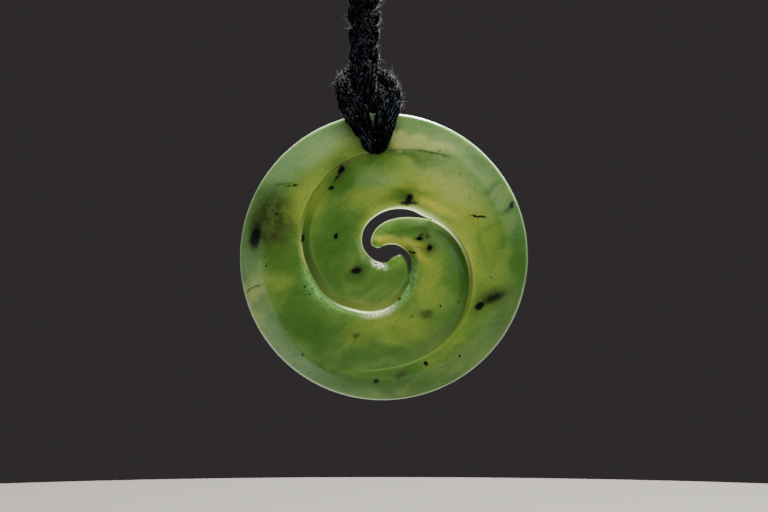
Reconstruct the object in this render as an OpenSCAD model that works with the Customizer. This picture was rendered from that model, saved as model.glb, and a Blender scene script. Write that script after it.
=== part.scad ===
// Jade spiral pendant hung by a cow hitch from a plaited neck cord.
// Millimetres, +Z up, the carved face looks along -Y, the origin is where the loop lies on the nape.

/* [Disc] */
// Diameter of the jade disc
disc_d = 35; // [32:0.5:38]
// Thickness of the disc at its middle
disc_t = 5.4; // [5.2:0.1:5.8]
// How much lower each face is where its margin starts than at the middle
dome_sag = 0.5; // [0.3:0.1:0.8]
// Width of the sloping margin round each face
margin_w = 2.9; // [2.3:0.1:3.3]
// Thickness of the rounded rim
rim_t = 2; // [1.6:0.1:2.4]

/* [Spiral] */
// Width across the groove's long slope for each millimetre of its depth
slope_run = 1.1; // [0.8:0.1:1.3]
// Width across the groove's steep side for each millimetre of its depth
steep_run = 0.35; // [0.2:0.05:0.5]

/* [Cord hole] */
// Diameter of the hole that the cords go through
hole_d = 3.4; // [3.4:0.1:3.8]
// Distance of the hole's centre in from the rim
hole_in = 3.4; // [3.2:0.1:3.8]
// Distance of the hole's centre to the left of the disc's centre
hole_left = 1; // [0:0.1:1.5]

/* [Cords] */
// Diameter of a cord in the hitch
hitch_cord_d = 1.4; // [1:0.1:1.4]
// Diameter of a cord where the others press on it, in the hole and at the foot of the plait
pressed_cord_d = 1.3; // [1:0.05:1.3]
// Diameter of a cord in the plait
plait_cord_d = 1.1; // [0.8:0.05:1.1]
// Height in which a plaited cord goes once round
plait_pitch = 9.6; // [9:0.1:11]
// Number of quarter turns in the plait
plait_quarters = 6; // [6:1:9]
// Diameter of each side of the neck loop, two cords laid together
neck_cord_d = 2.4; // [1.6:0.1:2.4]

/* [Lashings] */
// Diameter of the binding that ends the plait
plait_lashing_d = 5.4; // [5.2:0.1:6.5]
// Length of that binding
plait_lashing_l = 5; // [3:0.5:8]
// Diameter of the binding behind the neck
nape_lashing_d = 3.8; // [3:0.1:4.5]
// Length of that binding
nape_lashing_l = 10; // [6:1:10]

/* [Hidden] */

jade = [0.48, 0.60, 0.24];
black = [0.05, 0.05, 0.06];

// The disc's own sizes. Its faces are shallow domes out to face_r, then cones down to the rim.
disc_r = disc_d / 2;
face_r = disc_r - margin_w;
edge_half = disc_t / 2 - dome_sag;
dome_r = (face_r * face_r + dome_sag * dome_sag) / (2 * dome_sag);
rim_r = rim_t / 2;
rim_centre_r = disc_r - rim_r;
hole_x = -hole_left;
hole_z = disc_r - hole_in;
// Overlap of the face's solid with the margin's, and the length of a cutter that goes right through
seam = 0.5;
through = 2 * disc_t;

// Where the front groove runs: turn is the angle clockwise from the right as the face is seen,
// radius is from the disc's centre on a 35 mm disc, depth is below the face. A groove runs out
// where its depth falls below 0.
table_r = 17.5;
// [turn, radius, depth] of the groove that leaves the top end of the pierced slot
upper_groove = [
    [228, 1.9, 2.2], [240, 3.4, 2.2], [255, 4.2, 2.2], [270, 4.8, 2.2], [285, 5.5, 2.2],
    [300, 6.2, 2.2], [318, 7.0, 2.2], [330, 7.9, 2.0], [345, 9.0, 1.8], [360, 10.0, 1.6],
    [375, 10.9, 1.4], [390, 11.7, 1.2], [405, 12.3, 1.0], [420, 12.8, 0.8], [435, 13.2, 0.5],
    [450, 13.5, 0.3], [465, 14.0, -0.2]];
// [turn, radius, depth] of the groove that leaves the slot's lower end
lower_groove = [
    [-40, 2.1, 2.2], [-20, 2.2, 2.2], [0, 2.9, 2.2], [15, 3.4, 2.2], [33, 3.9, 2.2],
    [45, 4.4, 2.0], [60, 5.1, 1.8], [75, 5.8, 1.6], [90, 6.4, 1.5], [105, 7.0, 1.4],
    [120, 7.5, 1.3], [135, 8.1, 1.2], [150, 8.7, 1.2], [165, 9.3, 1.2], [180, 9.9, 1.2],
    [195, 10.4, 1.1], [210, 10.9, 1.0], [225, 11.5, 1.0], [240, 12.0, 0.9], [255, 12.4, 0.7],
    [270, 12.8, 0.5], [285, 13.3, 0.3], [300, 14.0, -0.2]];
// How far the cutters stand out of the face, and how near the centre their long slope comes, as a
// share of the radius. Each cutter has groove_steps pieces between two rows.
groove_lift = 0.4;
groove_least = 0.35;
groove_steps = 2;

// The pierced slot's outline on a 35 mm disc, [x, z] from the disc's centre, in three smooth runs
// that meet at its sharp ends: the outer wall, the lobe's side, and round the tongue. Each has
// slot_steps pieces between two of its points.
slot_steps = 3;
slot_wall = [
    [5.9, 4.5], [4.9, 5.1], [3.9, 5.6], [2.8, 5.8], [1.7, 5.9], [0.4, 5.6], [-0.8, 4.9],
    [-1.8, 3.9], [-2.4, 2.9], [-2.6, 2.0], [-2.4, 1.1], [-2.0, 0.4], [-1.3, -0.3],
    [-0.7, -0.6], [0.2, -0.7], [0.9, -0.2], [1.6, 0.2], [2.1, 0.3]];
slot_lobe = [[2.1, 0.3], [2.6, -0.5], [2.9, -1.3], [3.1, -2.1]];
slot_tongue = [
    [3.1, -2.1], [3.4, -1.3], [3.3, -0.5], [2.9, 0.4], [2.3, 1.0], [1.6, 1.4], [0.9, 1.5],
    [0.3, 1.4], [-0.4, 1.1], [-0.9, 1.1], [-1.3, 1.4], [-1.5, 2.0], [-1.4, 2.7], [-0.9, 3.4],
    [-0.1, 4.0], [1.0, 4.5], [2.1, 4.8], [3.2, 4.9], [4.1, 4.9], [5.1, 4.7], [5.9, 4.5]];

// The plait, from the disc's centre: its axis, its foot and the two radii that its strands keep,
// over and under each other.
plait_x = -2.4;
plait_y = -0.9;
plait_foot = hole_z + 9.5;
quarter_h = plait_pitch / 4;
plait_top = plait_foot + plait_quarters * quarter_h;
under_r = 0.6;
over_r = 1.78;
// Rings of a strand in each quarter turn, and how many of them it takes to thin out above the foot
plait_rings = 5;
taper_rings = 2;

// Every cord's tube has this many sides, and starts its first side off from this direction
cord_sides = 8;
first_side = [0.3, 0.2, 0.9];

// The hitch, from the hole's centre. Two cords run side by side all the way, and a row gives
// [x, y, z] of the middle between them, then the step from there to the outer cord.
hitch_route = [
    [-2.0, -0.3, 9.5, 0.6, 0.6, 0],
    [-2.15, -0.55, 8.5, 0.3, 0.75, 0],
    [-2.1, -0.75, 7.4, 0, 0.75, 0.05],
    [-2.05, -0.65, 6.4, 0, 0.7, 0.25],
    [-1.95, 0, 5.2, 0, 0.6, 0.5],
    [-2.0, 1.1, 4.65, 0, 0.5, 0.6],
    [-2.1, 2.35, 3.6, 0, 0.6, 0.45],
    [-2.0, 3.3, 2.3, 0, 0.7, 0.25],
    [-1.5, 3.55, 1.2, 0, 0.75, -0.25],
    [-1.05, 3.2, 0.4, 0, 0.6, -0.55],
    [-0.8, 2.4, 0, 0, 0.35, -0.7],
    [-0.71, 1.2, 0, 0, 0, -0.71],
    [-0.71, 0, 0, 0, 0, -0.71],
    [-0.71, -1.2, 0, 0, 0, -0.71],
    [-0.71, -2.2, 0, 0, 0, -0.71],
    [-0.75, -3.05, 0.2, 0, -0.3, -0.75],
    [-1.15, -3.5, 0.95, -0.3, -0.6, -0.4],
    [-1.75, -3.6, 1.95, -0.6, -0.4, -0.25],
    [-2.4, -3.4, 3.15, -0.65, -0.25, -0.35],
    [-3.1, -3.0, 4.5, -0.6, -0.4, -0.2],
    [-3.65, -2.0, 5.6, -0.4, -0.65, 0.25],
    [-3.85, -0.8, 6.5, -0.3, -0.4, 0.6],
    [-3.3, 0.8, 7.2, -0.2, -0.2, 0.7],
    [-2.2, 1.9, 7.45, 0, 0.1, 0.75],
    [-1.3, 2.05, 7.5, 0, 0.1, 0.75],
    [-0.3, 1.8, 7.5, 0.1, 0, 0.75],
    [0.75, 0.8, 7.25, 0.25, -0.3, 0.6],
    [1.4, -0.85, 6.25, 0.5, -0.3, 0.5],
    [1.65, -1.85, 5.35, 0.7, -0.3, 0.2],
    [1.7, -2.6, 4.5, 0.7, -0.3, 0],
    [1.45, -3.3, 3.25, 0.65, -0.35, -0.1],
    [1.15, -3.6, 2.0, 0.6, -0.45, -0.1],
    [0.95, -3.5, 0.95, 0.3, -0.6, -0.4],
    [0.75, -3.05, 0.2, 0, -0.3, -0.75],
    [0.71, -2.2, 0, 0, 0, -0.71],
    [0.71, -1.2, 0, 0, 0, -0.71],
    [0.71, 0, 0, 0, 0, -0.71],
    [0.71, 1.2, 0, 0, 0, -0.71],
    [0.75, 2.4, 0, 0, 0.35, -0.7],
    [0.85, 3.2, 0.4, 0, 0.6, -0.55],
    [0.95, 3.55, 1.2, 0, 0.75, -0.25],
    [0.9, 3.3, 2.3, 0, 0.7, 0.25],
    [0.7, 2.35, 3.6, 0, 0.6, 0.5],
    [0.15, 1.15, 4.6, 0.1, 0.55, 0.6],
    [-0.4, -0.2, 4.95, 0, 0.6, 0.5],
    [-0.65, -0.85, 6.1, 0, 0.7, 0.25],
    [-0.65, -0.95, 7.3, 0, 0.75, 0.05],
    [-0.65, -1.2, 8.5, 0.3, 0.75, 0],
    [-0.8, -1.5, 9.5, 0.6, 0.6, 0]];
hitch_steps = 2;
// The cords are pressed within this height of the hole's middle, and above this height at the plait
hole_reach = 0.5;
foot_reach = 8;

// The right side of the neck loop, [x, y, z] from the origin, from the plait up to the nape.
// The left side is its mirror image.
neck_y = -122;
neck_foot = -208;
neck_route = [
    [1.35, neck_y, neck_foot], [4, neck_y, -196], [11, -121, -172], [19, -119, -149],
    [28, -116, -126], [38, -111, -104], [48, -103, -82], [57, -92, -62], [63, -78, -44],
    [66, -60, -29], [64, -41, -17], [57, -25, -9], [45, -12, -3], [30, -4, 0],
    [15, -1, 1.7], [5, 0, 1.9]];
neck_steps = 2;

// Where the disc's centre hangs
disc_x = -plait_x;
disc_y = neck_y - plait_y;
disc_z = neck_foot - plait_lashing_l - plait_top;

function lerp(a, b, t) = a + (b - a) * t;

// A point between b and c on the smooth curve through a, b, c and d
function between(a, b, c, d, t) =
    b + 0.5 * t * ((c - a) + t * ((2 * a - 5 * b + 4 * c - d) + t * (3 * (b - c) + d - a)));

// All the points of a smooth curve through the route, with steps pieces between two of its points
function smooth(route, steps) = let (last = len(route) - 1) [
    for (i = [0 : last - 1], k = [0 : steps - 1])
        between(route[max(i - 1, 0)], route[i], route[i + 1], route[min(i + 2, last)], k / steps),
    route[last]];

// The same points without the last, for runs that are joined end to end
function open_run(points) = [for (i = [0 : len(points) - 2]) points[i]];

function unit(v) = v / norm(v);

// The way the path runs at each point. Its two ends are given, so that each end is cut off square
// to what it meets.
function ways(p, first, last) = [
    for (i = [0 : len(p) - 1])
        i == 0 ? first : i == len(p) - 1 ? last : unit(p[i + 1] - p[i - 1])];

// A direction across each way, carried along the path so that the tube doesn't twist
function across(way) = [
    for (i = 0, s = unit(cross(way[0], first_side));
         i < len(way);
         i = i + 1, s = i < len(way) ? unit(s - way[i] * (s * way[i])) : s) s];

// A closed tube along the points p, whose radius at each point is in r
module tube(p, r, first, last) {
    n = cord_sides;
    m = len(p);
    way = ways(p, first, last);
    s = across(way);
    rings = [for (i = [0 : m - 1], k = [0 : n - 1])
        let (a = 360 * k / n)
        p[i] + r[i] * (cos(a) * s[i] + sin(a) * cross(way[i], s[i]))];
    walls = [for (i = [0 : m - 2], k = [0 : n - 1], half = [0, 1])
        let (a = i * n + k, b = i * n + (k + 1) % n)
        half == 0 ? [a, a + n, b + n] : [a, b + n, b]];
    polyhedron(rings, concat(walls, [[for (k = [0 : n - 1]) k],
                                     [for (k = [n - 1 : -1 : 0]) (m - 1) * n + k]]), convexity = 8);
}

// Half the disc's thickness at radius r
function half_at(r) = r < face_r
    ? disc_t / 2 - dome_r + sqrt(dome_r * dome_r - r * r)
    : lerp(edge_half, rim_r, min((r - face_r) / (rim_centre_r - face_r), 1));

// The uncarved disc, its axis along Y
module disc_blank() {
    rotate([90, 0, 0]) {
        intersection() {
            translate([0, 0, disc_t / 2 - dome_r]) sphere(dome_r, $fn = 720);
            translate([0, 0, dome_r - disc_t / 2]) sphere(dome_r, $fn = 720);
            cylinder(r = face_r, h = through, center = true, $fn = 180);
        }
        rotate_extrude($fn = 180) {
            polygon([[face_r - seam, -edge_half], [face_r, -edge_half], [rim_centre_r, -rim_r],
                     [rim_centre_r, rim_r], [face_r, edge_half], [face_r - seam, edge_half]]);
            translate([rim_centre_r, 0]) circle(rim_r, $fn = 48);
        }
    }
}

// One groove's cutter: a three-cornered section carried along the table, its long slope inwards.
// side is -1 on the front face and 1 on the back.
module groove(table, side) {
    k = disc_r / table_r;
    stops = smooth(table, groove_steps);
    m = len(stops);
    corners = [for (s = stops)
        let (r = s[1] * k, top = half_at(r), reach = s[2] + groove_lift,
             inner = max(r - reach * slope_run, r * groove_least))
        for (c = [[inner, top + groove_lift], [r, top - s[2]],
                  [r + reach * steep_run, top + groove_lift]])
            [c[0] * cos(s[0]), side * c[1], -c[0] * sin(s[0])]];
    walls = [for (i = [0 : m - 2], c = [0 : 2], half = [0, 1])
        let (a = 3 * i + c, b = 3 * i + (c + 1) % 3)
        half == 0 ? [a, a + 3, b + 3] : [a, b + 3, b]];
    ends = [[0, 1, 2], [3 * m - 1, 3 * m - 2, 3 * m - 3]];
    faces = concat(walls, ends);
    polyhedron(corners, side > 0 ? [for (f = faces) [f[2], f[1], f[0]]] : faces, convexity = 12);
}

// The slot that is pierced right through between the two arms' heads
module slot() {
    outline = [for (run = [slot_wall, slot_lobe, slot_tongue])
        for (p = open_run(smooth(run, slot_steps))) p];
    rotate([90, 0, 0]) linear_extrude(through, center = true)
        polygon(outline * disc_r / table_r);
}

module cord_hole() {
    translate([hole_x, 0, hole_z]) rotate([90, 0, 0])
        cylinder(d = hole_d, h = through, center = true, $fn = 64);
}

// Places what is modelled round the disc's centre
module at_disc() {
    translate([disc_x, disc_y, disc_z]) children();
}

module spiral_disc() color(jade) at_disc() difference() {
    disc_blank();
    for (side = [-1, 1]) {
        groove(upper_groove, side);
        groove(lower_groove, side);
    }
    slot();
    cord_hole();
}

// One of the hitch's two cords: step is 1 for the outer one and -1 for the inner one
module hitch_cord(step) {
    rows = smooth(hitch_route, hitch_steps);
    points = [for (q = rows)
        [hole_x + q[0], q[1], hole_z + q[2]] + step * [q[3], q[4], q[5]]];
    widths = [for (q = rows)
        let (in_hole = abs(q[2]) < hole_reach && abs(q[1]) < disc_t / 2,
             at_foot = q[2] > foot_reach)
        (in_hole || at_foot ? pressed_cord_d : hitch_cord_d) / 2];
    color(black) at_disc() tube(points, widths, [0, 0, -1], [0, 0, 1]);
}

module hitch_cord_inner() hitch_cord(-1);
module hitch_cord_outer() hitch_cord(1);

// A plaited strand that starts at the angle start and goes round by hand, 1 or -1. The strands
// cross at the four diagonals, and each goes over at one pair of them and under at the other.
module plait_strand(start, hand) {
    mean_r = (over_r + under_r) / 2;
    sway = (over_r - under_r) / 2;
    stops = plait_quarters * plait_rings;
    points = [for (i = [0 : stops])
        let (a = start + hand * 90 * i / plait_rings, r = mean_r + hand * sway * sin(2 * a))
        [plait_x + r * cos(a), plait_y + r * sin(a), plait_foot + i * quarter_h / plait_rings]];
    widths = [for (i = [0 : stops])
        lerp(pressed_cord_d, plait_cord_d, min(i / taper_rings, 1)) / 2];
    color(black) at_disc() tube(points, widths, [0, 0, 1], [0, 0, 1]);
}

module plait_strand_1() plait_strand(0, 1);
module plait_strand_2() plait_strand(180, 1);
module plait_strand_3() plait_strand(90, -1);
module plait_strand_4() plait_strand(270, -1);

module plait_lashing() color(black)
    translate([0, neck_y, neck_foot - plait_lashing_l])
        cylinder(d = plait_lashing_d, h = plait_lashing_l, $fn = 48);

// One side of the neck loop: hand is 1 for the wearer's left, which is the right as it is seen
module neck_cord(hand) {
    points = smooth(neck_route, neck_steps);
    mirrored = [for (p = points) [hand * p[0], p[1], p[2]]];
    color(black) tube(mirrored, [for (p = points) neck_cord_d / 2], [0, 0, 1], [-hand, 0, 0]);
}

module neck_cord_left() neck_cord(-1);
module neck_cord_right() neck_cord(1);

module nape_lashing() color(black)
    translate([0, 0, nape_lashing_d / 2]) rotate([0, 90, 0])
        cylinder(d = nape_lashing_d, h = nape_lashing_l, center = true, $fn = 48);

spiral_disc();
hitch_cord_inner();
hitch_cord_outer();
plait_strand_1();
plait_strand_2();
plait_strand_3();
plait_strand_4();
plait_lashing();
neck_cord_left();
neck_cord_right();
nape_lashing();
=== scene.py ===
# %% [markdown]
# Jade spiral pendant on a plaited cord.
# The pendant is one green stone disc, carved and pierced as a spiral of two arms on both faces.
# Two black cords are folded through the hole near its rim in a cow hitch. Their four ends are
# plaited upwards, a binding ends the plait, and the cords part there into a loop for the neck.
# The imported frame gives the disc's box, and the tables of the carving and the cords' routes repeat
# those of the solids. This script dresses them: it carves the stone's soft surfaces, spins the
# cords' plies, winds the bindings and mixes the finishes.

# %% Load the frame
import math
import bmesh
import bpy
import numpy as np
from mathutils import Matrix, Vector


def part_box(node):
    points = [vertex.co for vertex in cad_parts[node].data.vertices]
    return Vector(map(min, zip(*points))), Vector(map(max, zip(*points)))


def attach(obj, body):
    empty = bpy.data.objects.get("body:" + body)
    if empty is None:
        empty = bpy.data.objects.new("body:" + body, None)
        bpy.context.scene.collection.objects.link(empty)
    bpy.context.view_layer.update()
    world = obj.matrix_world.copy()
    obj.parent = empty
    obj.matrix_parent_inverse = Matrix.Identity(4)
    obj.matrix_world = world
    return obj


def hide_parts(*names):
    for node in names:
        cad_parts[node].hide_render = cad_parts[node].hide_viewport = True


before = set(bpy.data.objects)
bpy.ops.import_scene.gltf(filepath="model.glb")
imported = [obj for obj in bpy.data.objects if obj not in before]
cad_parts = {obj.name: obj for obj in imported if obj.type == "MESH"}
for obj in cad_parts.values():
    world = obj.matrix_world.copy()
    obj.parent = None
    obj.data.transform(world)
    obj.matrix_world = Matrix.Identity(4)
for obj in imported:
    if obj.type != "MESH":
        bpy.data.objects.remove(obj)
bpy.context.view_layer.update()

MM = 0.001
BODY = "root"
print("frame:", len(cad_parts), "solids")

# %% Where the disc hangs
disc_low, disc_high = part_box("spiral_disc")
DISC_CENTRE = (disc_low + disc_high) / 2 / MM
DISC_R = (disc_high.x - disc_low.x) / 2 / MM
DISC_HALF = (disc_high.y - disc_low.y) / 2 / MM
print("disc centre", [round(v, 2) for v in DISC_CENTRE], "radius", round(DISC_R, 2), "mm")

# %% [markdown]
# The camera looks level along +Y, as the photograph looks at the carved face, through a long lens.
# The photograph is 768 pixels wide and 512 high, and the disc is 287.6 pixels across in it. With
# the disc's real size, that gives the camera's distance.

# %% Camera
PHOTO_W, PHOTO_H = 768, 512
DISC_ACROSS_PX = 287.6
DISC_AT_PX = (383.7, 256.7)
LENS, SENSOR = 100, 36
mm_per_px = 2 * DISC_R / DISC_ACROSS_PX
camera_distance = PHOTO_W * mm_per_px * LENS / SENSOR
camera_data = bpy.data.cameras.new("camera")
camera_data.lens, camera_data.sensor_width = LENS, SENSOR
camera_data.clip_start = 0.01
camera = bpy.data.objects.new("camera", camera_data)
camera.location = Vector((
    DISC_CENTRE.x + (PHOTO_W / 2 - DISC_AT_PX[0]) * mm_per_px,
    DISC_CENTRE.y - camera_distance,
    DISC_CENTRE.z + (DISC_AT_PX[1] - PHOTO_H / 2) * mm_per_px)) * MM
camera.rotation_euler = (math.pi / 2, 0, 0)
bpy.context.scene.collection.objects.link(camera)
bpy.context.scene.camera = camera
print("camera", round(camera_distance), "mm away")

# %% [markdown]
# Every piece is made by a few helpers. A smooth line through some rows gives a carved line, or how
# strong something is along it. A net lays a grid of faces over points that were worked out, which
# suits the bent face of a stone and the round skin of a cord alike. The next helper makes the
# finished object, which rides on the one body, and the last one counts its triangles.

# %% Small helpers for pieces
def smooth_line(rows):
    """A smooth function through (place, value) rows."""
    at, value = np.array(rows, float).T
    slope = np.gradient(value, at)

    def line(q):
        q = np.clip(np.asarray(q, float), at[0], at[-1])
        i = np.clip(np.searchsorted(at, q, "right") - 1, 0, len(at) - 2)
        step = at[i + 1] - at[i]
        s = (q - at[i]) / step
        return ((2 * s**3 - 3 * s**2 + 1) * value[i] + (s**3 - 2 * s**2 + s) * step * slope[i]
                + (3 * s**2 - 2 * s**3) * value[i + 1] + (s**3 - s**2) * step * slope[i + 1])
    return line


def net(bm, places, marks=None):
    """Lays a grid over an array of points, [row][column]. marks gives its UV map the same way."""
    rows, columns = places.shape[:2]
    made = bmesh.ops.create_grid(bm, x_segments=rows - 1, y_segments=columns - 1, size=1)["verts"]
    order = {}
    for vert in made:
        row = round((vert.co.x + 1) / 2 * (rows - 1))
        column = round((vert.co.y + 1) / 2 * (columns - 1))
        order[row, column] = vert
    layer = None
    if marks is not None:
        layer = bm.loops.layers.uv.get("UVMap") or bm.loops.layers.uv.new("UVMap")
    for (row, column), vert in order.items():
        vert.co = places[row, column]
        if layer:
            for loop in vert.link_loops:
                loop[layer].uv = marks[row, column]


def piece_from(bm, name, material, replaced=()):
    """Makes the finished object, which rides on the one body and takes the given finish."""
    mesh = bpy.data.meshes.new(name)
    bm.to_mesh(mesh)
    bm.free()
    mesh.materials.append(material)
    piece = bpy.data.objects.new(name, mesh)
    bpy.context.scene.collection.objects.link(piece)
    for face in mesh.polygons:
        face.use_smooth = True
    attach(piece, BODY)
    if replaced:
        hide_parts(*replaced)
    return piece


def faces_of(piece):
    return sum(len(face.vertices) - 2 for face in piece.data.polygons)

# %% [markdown]
# A finish is a tree of shader nodes. Each helper adds one node or two and plugs in what feeds them,
# so that a material can be read like a sum.

# %% Small helpers for materials
def new_material(name):
    material = bpy.data.materials.new(name)
    material.use_nodes = True
    tree = material.node_tree
    return material, tree, tree.nodes["Principled BSDF"]


def plug(node, inputs):
    """Feeds a node's inputs, named or numbered: a socket is linked, a plain value is set."""
    for key, value in inputs.items():
        if isinstance(value, bpy.types.NodeSocket):
            node.id_data.links.new(value, node.inputs[key])
        else:
            node.inputs[key].default_value = value


def add(kind, inputs, tree=None, **settings):
    """Adds a node and feeds it. Its tree is that of the first socket that feeds it."""
    if tree is None:
        sockets = [value for value in inputs.values() if isinstance(value, bpy.types.NodeSocket)]
        tree = sockets[0].id_data
    made = tree.nodes.new(kind)
    for key, value in settings.items():
        setattr(made, key, value)
    plug(made, inputs)
    return made


def mixed(share, first, second):
    """Two colours mixed. The node has more sockets, and these numbers are the colours' own."""
    return add("ShaderNodeMix", {0: share, 6: first, 7: second}, data_type="RGBA").outputs[2]


def maths(how, first, second):
    return add("ShaderNodeMath", {0: first, 1: second}, operation=how).outputs[0]


def times(first, second):
    return maths("MULTIPLY", first, second)


def span(value, low, high, to_low=0.0, to_high=1.0):
    """A soft step from to_low, where value is low, to to_high, where it is high."""
    return add("ShaderNodeMapRange", {
        "Value": value, "From Min": low, "From Max": high, "To Min": to_low,
        "To Max": to_high}, interpolation_type="SMOOTHSTEP").outputs["Result"]


def noise(place, scale, detail=3.0, roughness=0.55, distortion=0.0, output="Fac"):
    return add("ShaderNodeTexNoise", {
        "Vector": place, "Scale": scale, "Detail": detail, "Roughness": roughness,
        "Distortion": distortion}).outputs[output]


def pushed(place, scale, reach, detail=2):
    """The place, pushed about by a noise, so that what is drawn there has ragged edges."""
    push = noise(place, scale, detail, output="Color")
    centred = add("ShaderNodeVectorMath", {0: push, 1: (0.5, 0.5, 0.5)}, operation="SUBTRACT")
    return add("ShaderNodeVectorMath", {0: centred.outputs[0], 1: (reach,) * 3, 2: place},
               operation="MULTIPLY_ADD").outputs[0]


def drawn_out(place, angle, along, across):
    """The place, turned and squeezed so that a noise there is drawn out in mm along the angle."""
    return add("ShaderNodeMapping", {
        "Vector": place, "Rotation": (0, math.radians(-angle), 0),
        "Scale": (along, across, across)}, vector_type="TEXTURE").outputs[0]


def bumped(height, strength, distance):
    return add("ShaderNodeBump", {
        "Height": height, "Strength": strength, "Distance": distance}).outputs[0]


def object_place(tree):
    return add("ShaderNodeTexCoord", {}, tree).outputs["Object"]


def srgb(red, green, blue):
    """A colour given as it looks on a screen, 0 to 255, turned into light values."""
    linear = [c / 12.92 if c <= 0.04045 else ((c + 0.055) / 1.055) ** 2.4
              for c in (red / 255, green / 255, blue / 255)]
    return (*linear, 1.0)

# %% [markdown]
# The stone. Both arms of the spiral are long bands. Each begins at a tip in the pierced middle,
# turns outwards and melts into the margin. A band is bounded by two lines, so a polar table of
# turn (degrees clockwise from the right) and radius (mm on a 35 mm disc) gives each line. A grid is
# laid between two lines and bent over the section that a carver leaves: a steep rounded shoulder
# on the inner side, a soft crown, a crest, and a long slope down into the next groove.

# %% The lines of the carving
TABLE_R = 17.5
TONGUE_TIP, TONGUE_END = 224, 720
LOBE_TIP, LOBE_END = -8, 540
SLOT_FOOT, SLOT_HEAD = 33, 323
RIM_R, RIM_HALF = 1.0, 0.85
MARGIN_SLOPE = 0.63
MARGIN_R = 17.03
tongue_under = smooth_line([
    (224, 1.9), (226, 1.66), (229, 1.45), (234, 1.3), (244, 1.2), (260, 1.27), (280, 1.46),
    (300, 1.76), (320, 2.19), (340, 2.68), (360, 3.2), (375, 3.5), (393, 3.77)])
tongue_over = smooth_line([
    (224, 1.9), (226, 2.14), (229, 2.38), (234, 2.6), (244, 3.02), (255, 3.52), (270, 4.14),
    (285, 4.77), (300, 5.54), (312, 6.36), (323, 7.38)])
lobe_under = smooth_line([
    (-8, 2.1), (-6, 1.65), (0, 1.2), (12, 0.92), (40, 0.78), (74, 0.75), (110, 0.8), (139, 0.92),
    (160, 1.2), (180, 1.7), (191, 2.1), (204, 2.75), (217, 3.35), (230, 3.95), (245, 4.55),
    (260, 5.1), (274, 5.65), (286, 6.1), (300, 6.57), (314, 6.92), (323, 7.38)])
lobe_over = smooth_line([(-8, 2.1), (-5, 2.25), (0, 2.43), (15, 3.04), (33, 3.77)])
upper_line = smooth_line([
    (318, 7.03), (323, 7.38), (330, 7.9), (345, 8.97), (360, 9.98), (375, 10.9), (390, 11.7),
    (405, 12.3), (420, 12.75), (435, 13.1), (450, 13.5), (465, 14.1), (500, 15.7),
    (540, MARGIN_R)])
lower_line = smooth_line([
    (33, 3.77), (45, 4.4), (60, 5.0), (75, 5.8), (90, 6.45), (105, 7.0), (120, 7.45), (135, 8.1),
    (150, 8.7), (165, 9.12), (180, 9.77), (195, 10.4), (210, 10.95), (225, 11.5), (240, 12.05),
    (255, 12.45), (270, 12.8), (285, 13.3), (300, 14.0), (330, 15.6), (360, MARGIN_R)])
print("arms run over turns", (TONGUE_TIP, TONGUE_END), "and", (LOBE_TIP, LOBE_END))

# %% [markdown]
# A groove is deepest beside the slot and runs out to nothing in the margin. So its depth is a line
# over the turn as well, and so are the widths of the flanks that lead down into it.

# %% How deep the grooves are, and how wide their flanks
upper_depth = smooth_line([
    (318, 2.0), (323, 2.0), (345, 1.5), (375, 1.1), (405, 0.68), (420, 0.45), (435, 0.28),
    (450, 0.15), (465, 0.08), (480, 0.0), (540, 0.0)])
lower_depth = smooth_line([
    (33, 1.9), (60, 1.15), (90, 0.85), (120, 0.85), (180, 0.95), (210, 0.85), (240, 0.75),
    (255, 0.55), (270, 0.4), (285, 0.2), (305, 0.0), (360, 0.0)])
tongue_under_depth = smooth_line([(224, 1.6), (260, 1.4), (320, 1.5), (360, 1.8), (393, 2.0)])
tongue_over_depth = smooth_line([(224, 1.6), (260, 1.8), (300, 1.95), (323, 2.0)])
lobe_under_depth = smooth_line([
    (-8, 1.6), (20, 1.0), (60, 0.8), (150, 0.8), (250, 1.1), (300, 1.7), (323, 2.0)])
lobe_over_depth = smooth_line([(-8, 1.6), (10, 1.9), (33, 2.0)])
shoulder_width = smooth_line([
    (33, 0.8), (60, 1.0), (90, 0.8), (120, 0.65), (150, 0.5), (200, 0.35), (360, 0.35)])
shoulder_steepness = smooth_line([(33, 1.5), (110, 1.5), (160, 2.2), (360, 2.2)])
slot_edge_width = smooth_line([
    (-8, 0.3), (40, 0.4), (80, 0.9), (115, 0.9), (140, 0.4), (250, 0.4), (318, 0.45), (360, 0.4),
    (540, 0.35)])
lower_strip = smooth_line([(-8, 0.3), (20, 0.4), (40, 0.6), (60, 0.95), (90, 1.1), (540, 1.15)])
upper_strip = smooth_line([
    (224, 2.6), (300, 2.0), (318, 1.6), (335, 1.45), (360, 1.6), (380, 1.6), (405, 1.35),
    (425, 1.27), (450, 1.25), (500, 1.25), (720, 1.25)])
print("grooves are up to", float(upper_depth(SLOT_HEAD)), "mm deep at the slot")

# %% [markdown]
# The section of an arm is worked out as a drop below the uncarved face. Each flank runs in from its
# line, over no more than a set share of the arm's width. What is left between them is the crown,
# which sinks a little towards both grooves. At a tip the section opens from nothing.

# %% The points of one arm
DOME_R, DOME_SAG, FACE_MELT = 14.6, 0.5, 0.05
INNER_LIMIT, OUTER_LIMIT = 0.36, 0.48
CROWN_SHARE, CROWN_REACH, CROWN_STEPS = 0.15, 1.3, 12
LONG_POWER = 1.3
INNER_SHARES = (0, 0.12, 0.27, 0.45, 0.65, 0.83)
OUTER_SHARES = (0.12, 0.28, 0.46, 0.65, 0.83, 1)


def face_height(radius):
    """Half the disc's thickness where nothing is carved: a shallow dome, then the margin's slope."""
    dome = DISC_HALF - DOME_SAG * (radius / DOME_R) ** 2
    margin = RIM_HALF + MARGIN_SLOPE * (MARGIN_R - radius)
    return -FACE_MELT * np.log(np.exp(-dome / FACE_MELT) + np.exp(-margin / FACE_MELT))


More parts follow.
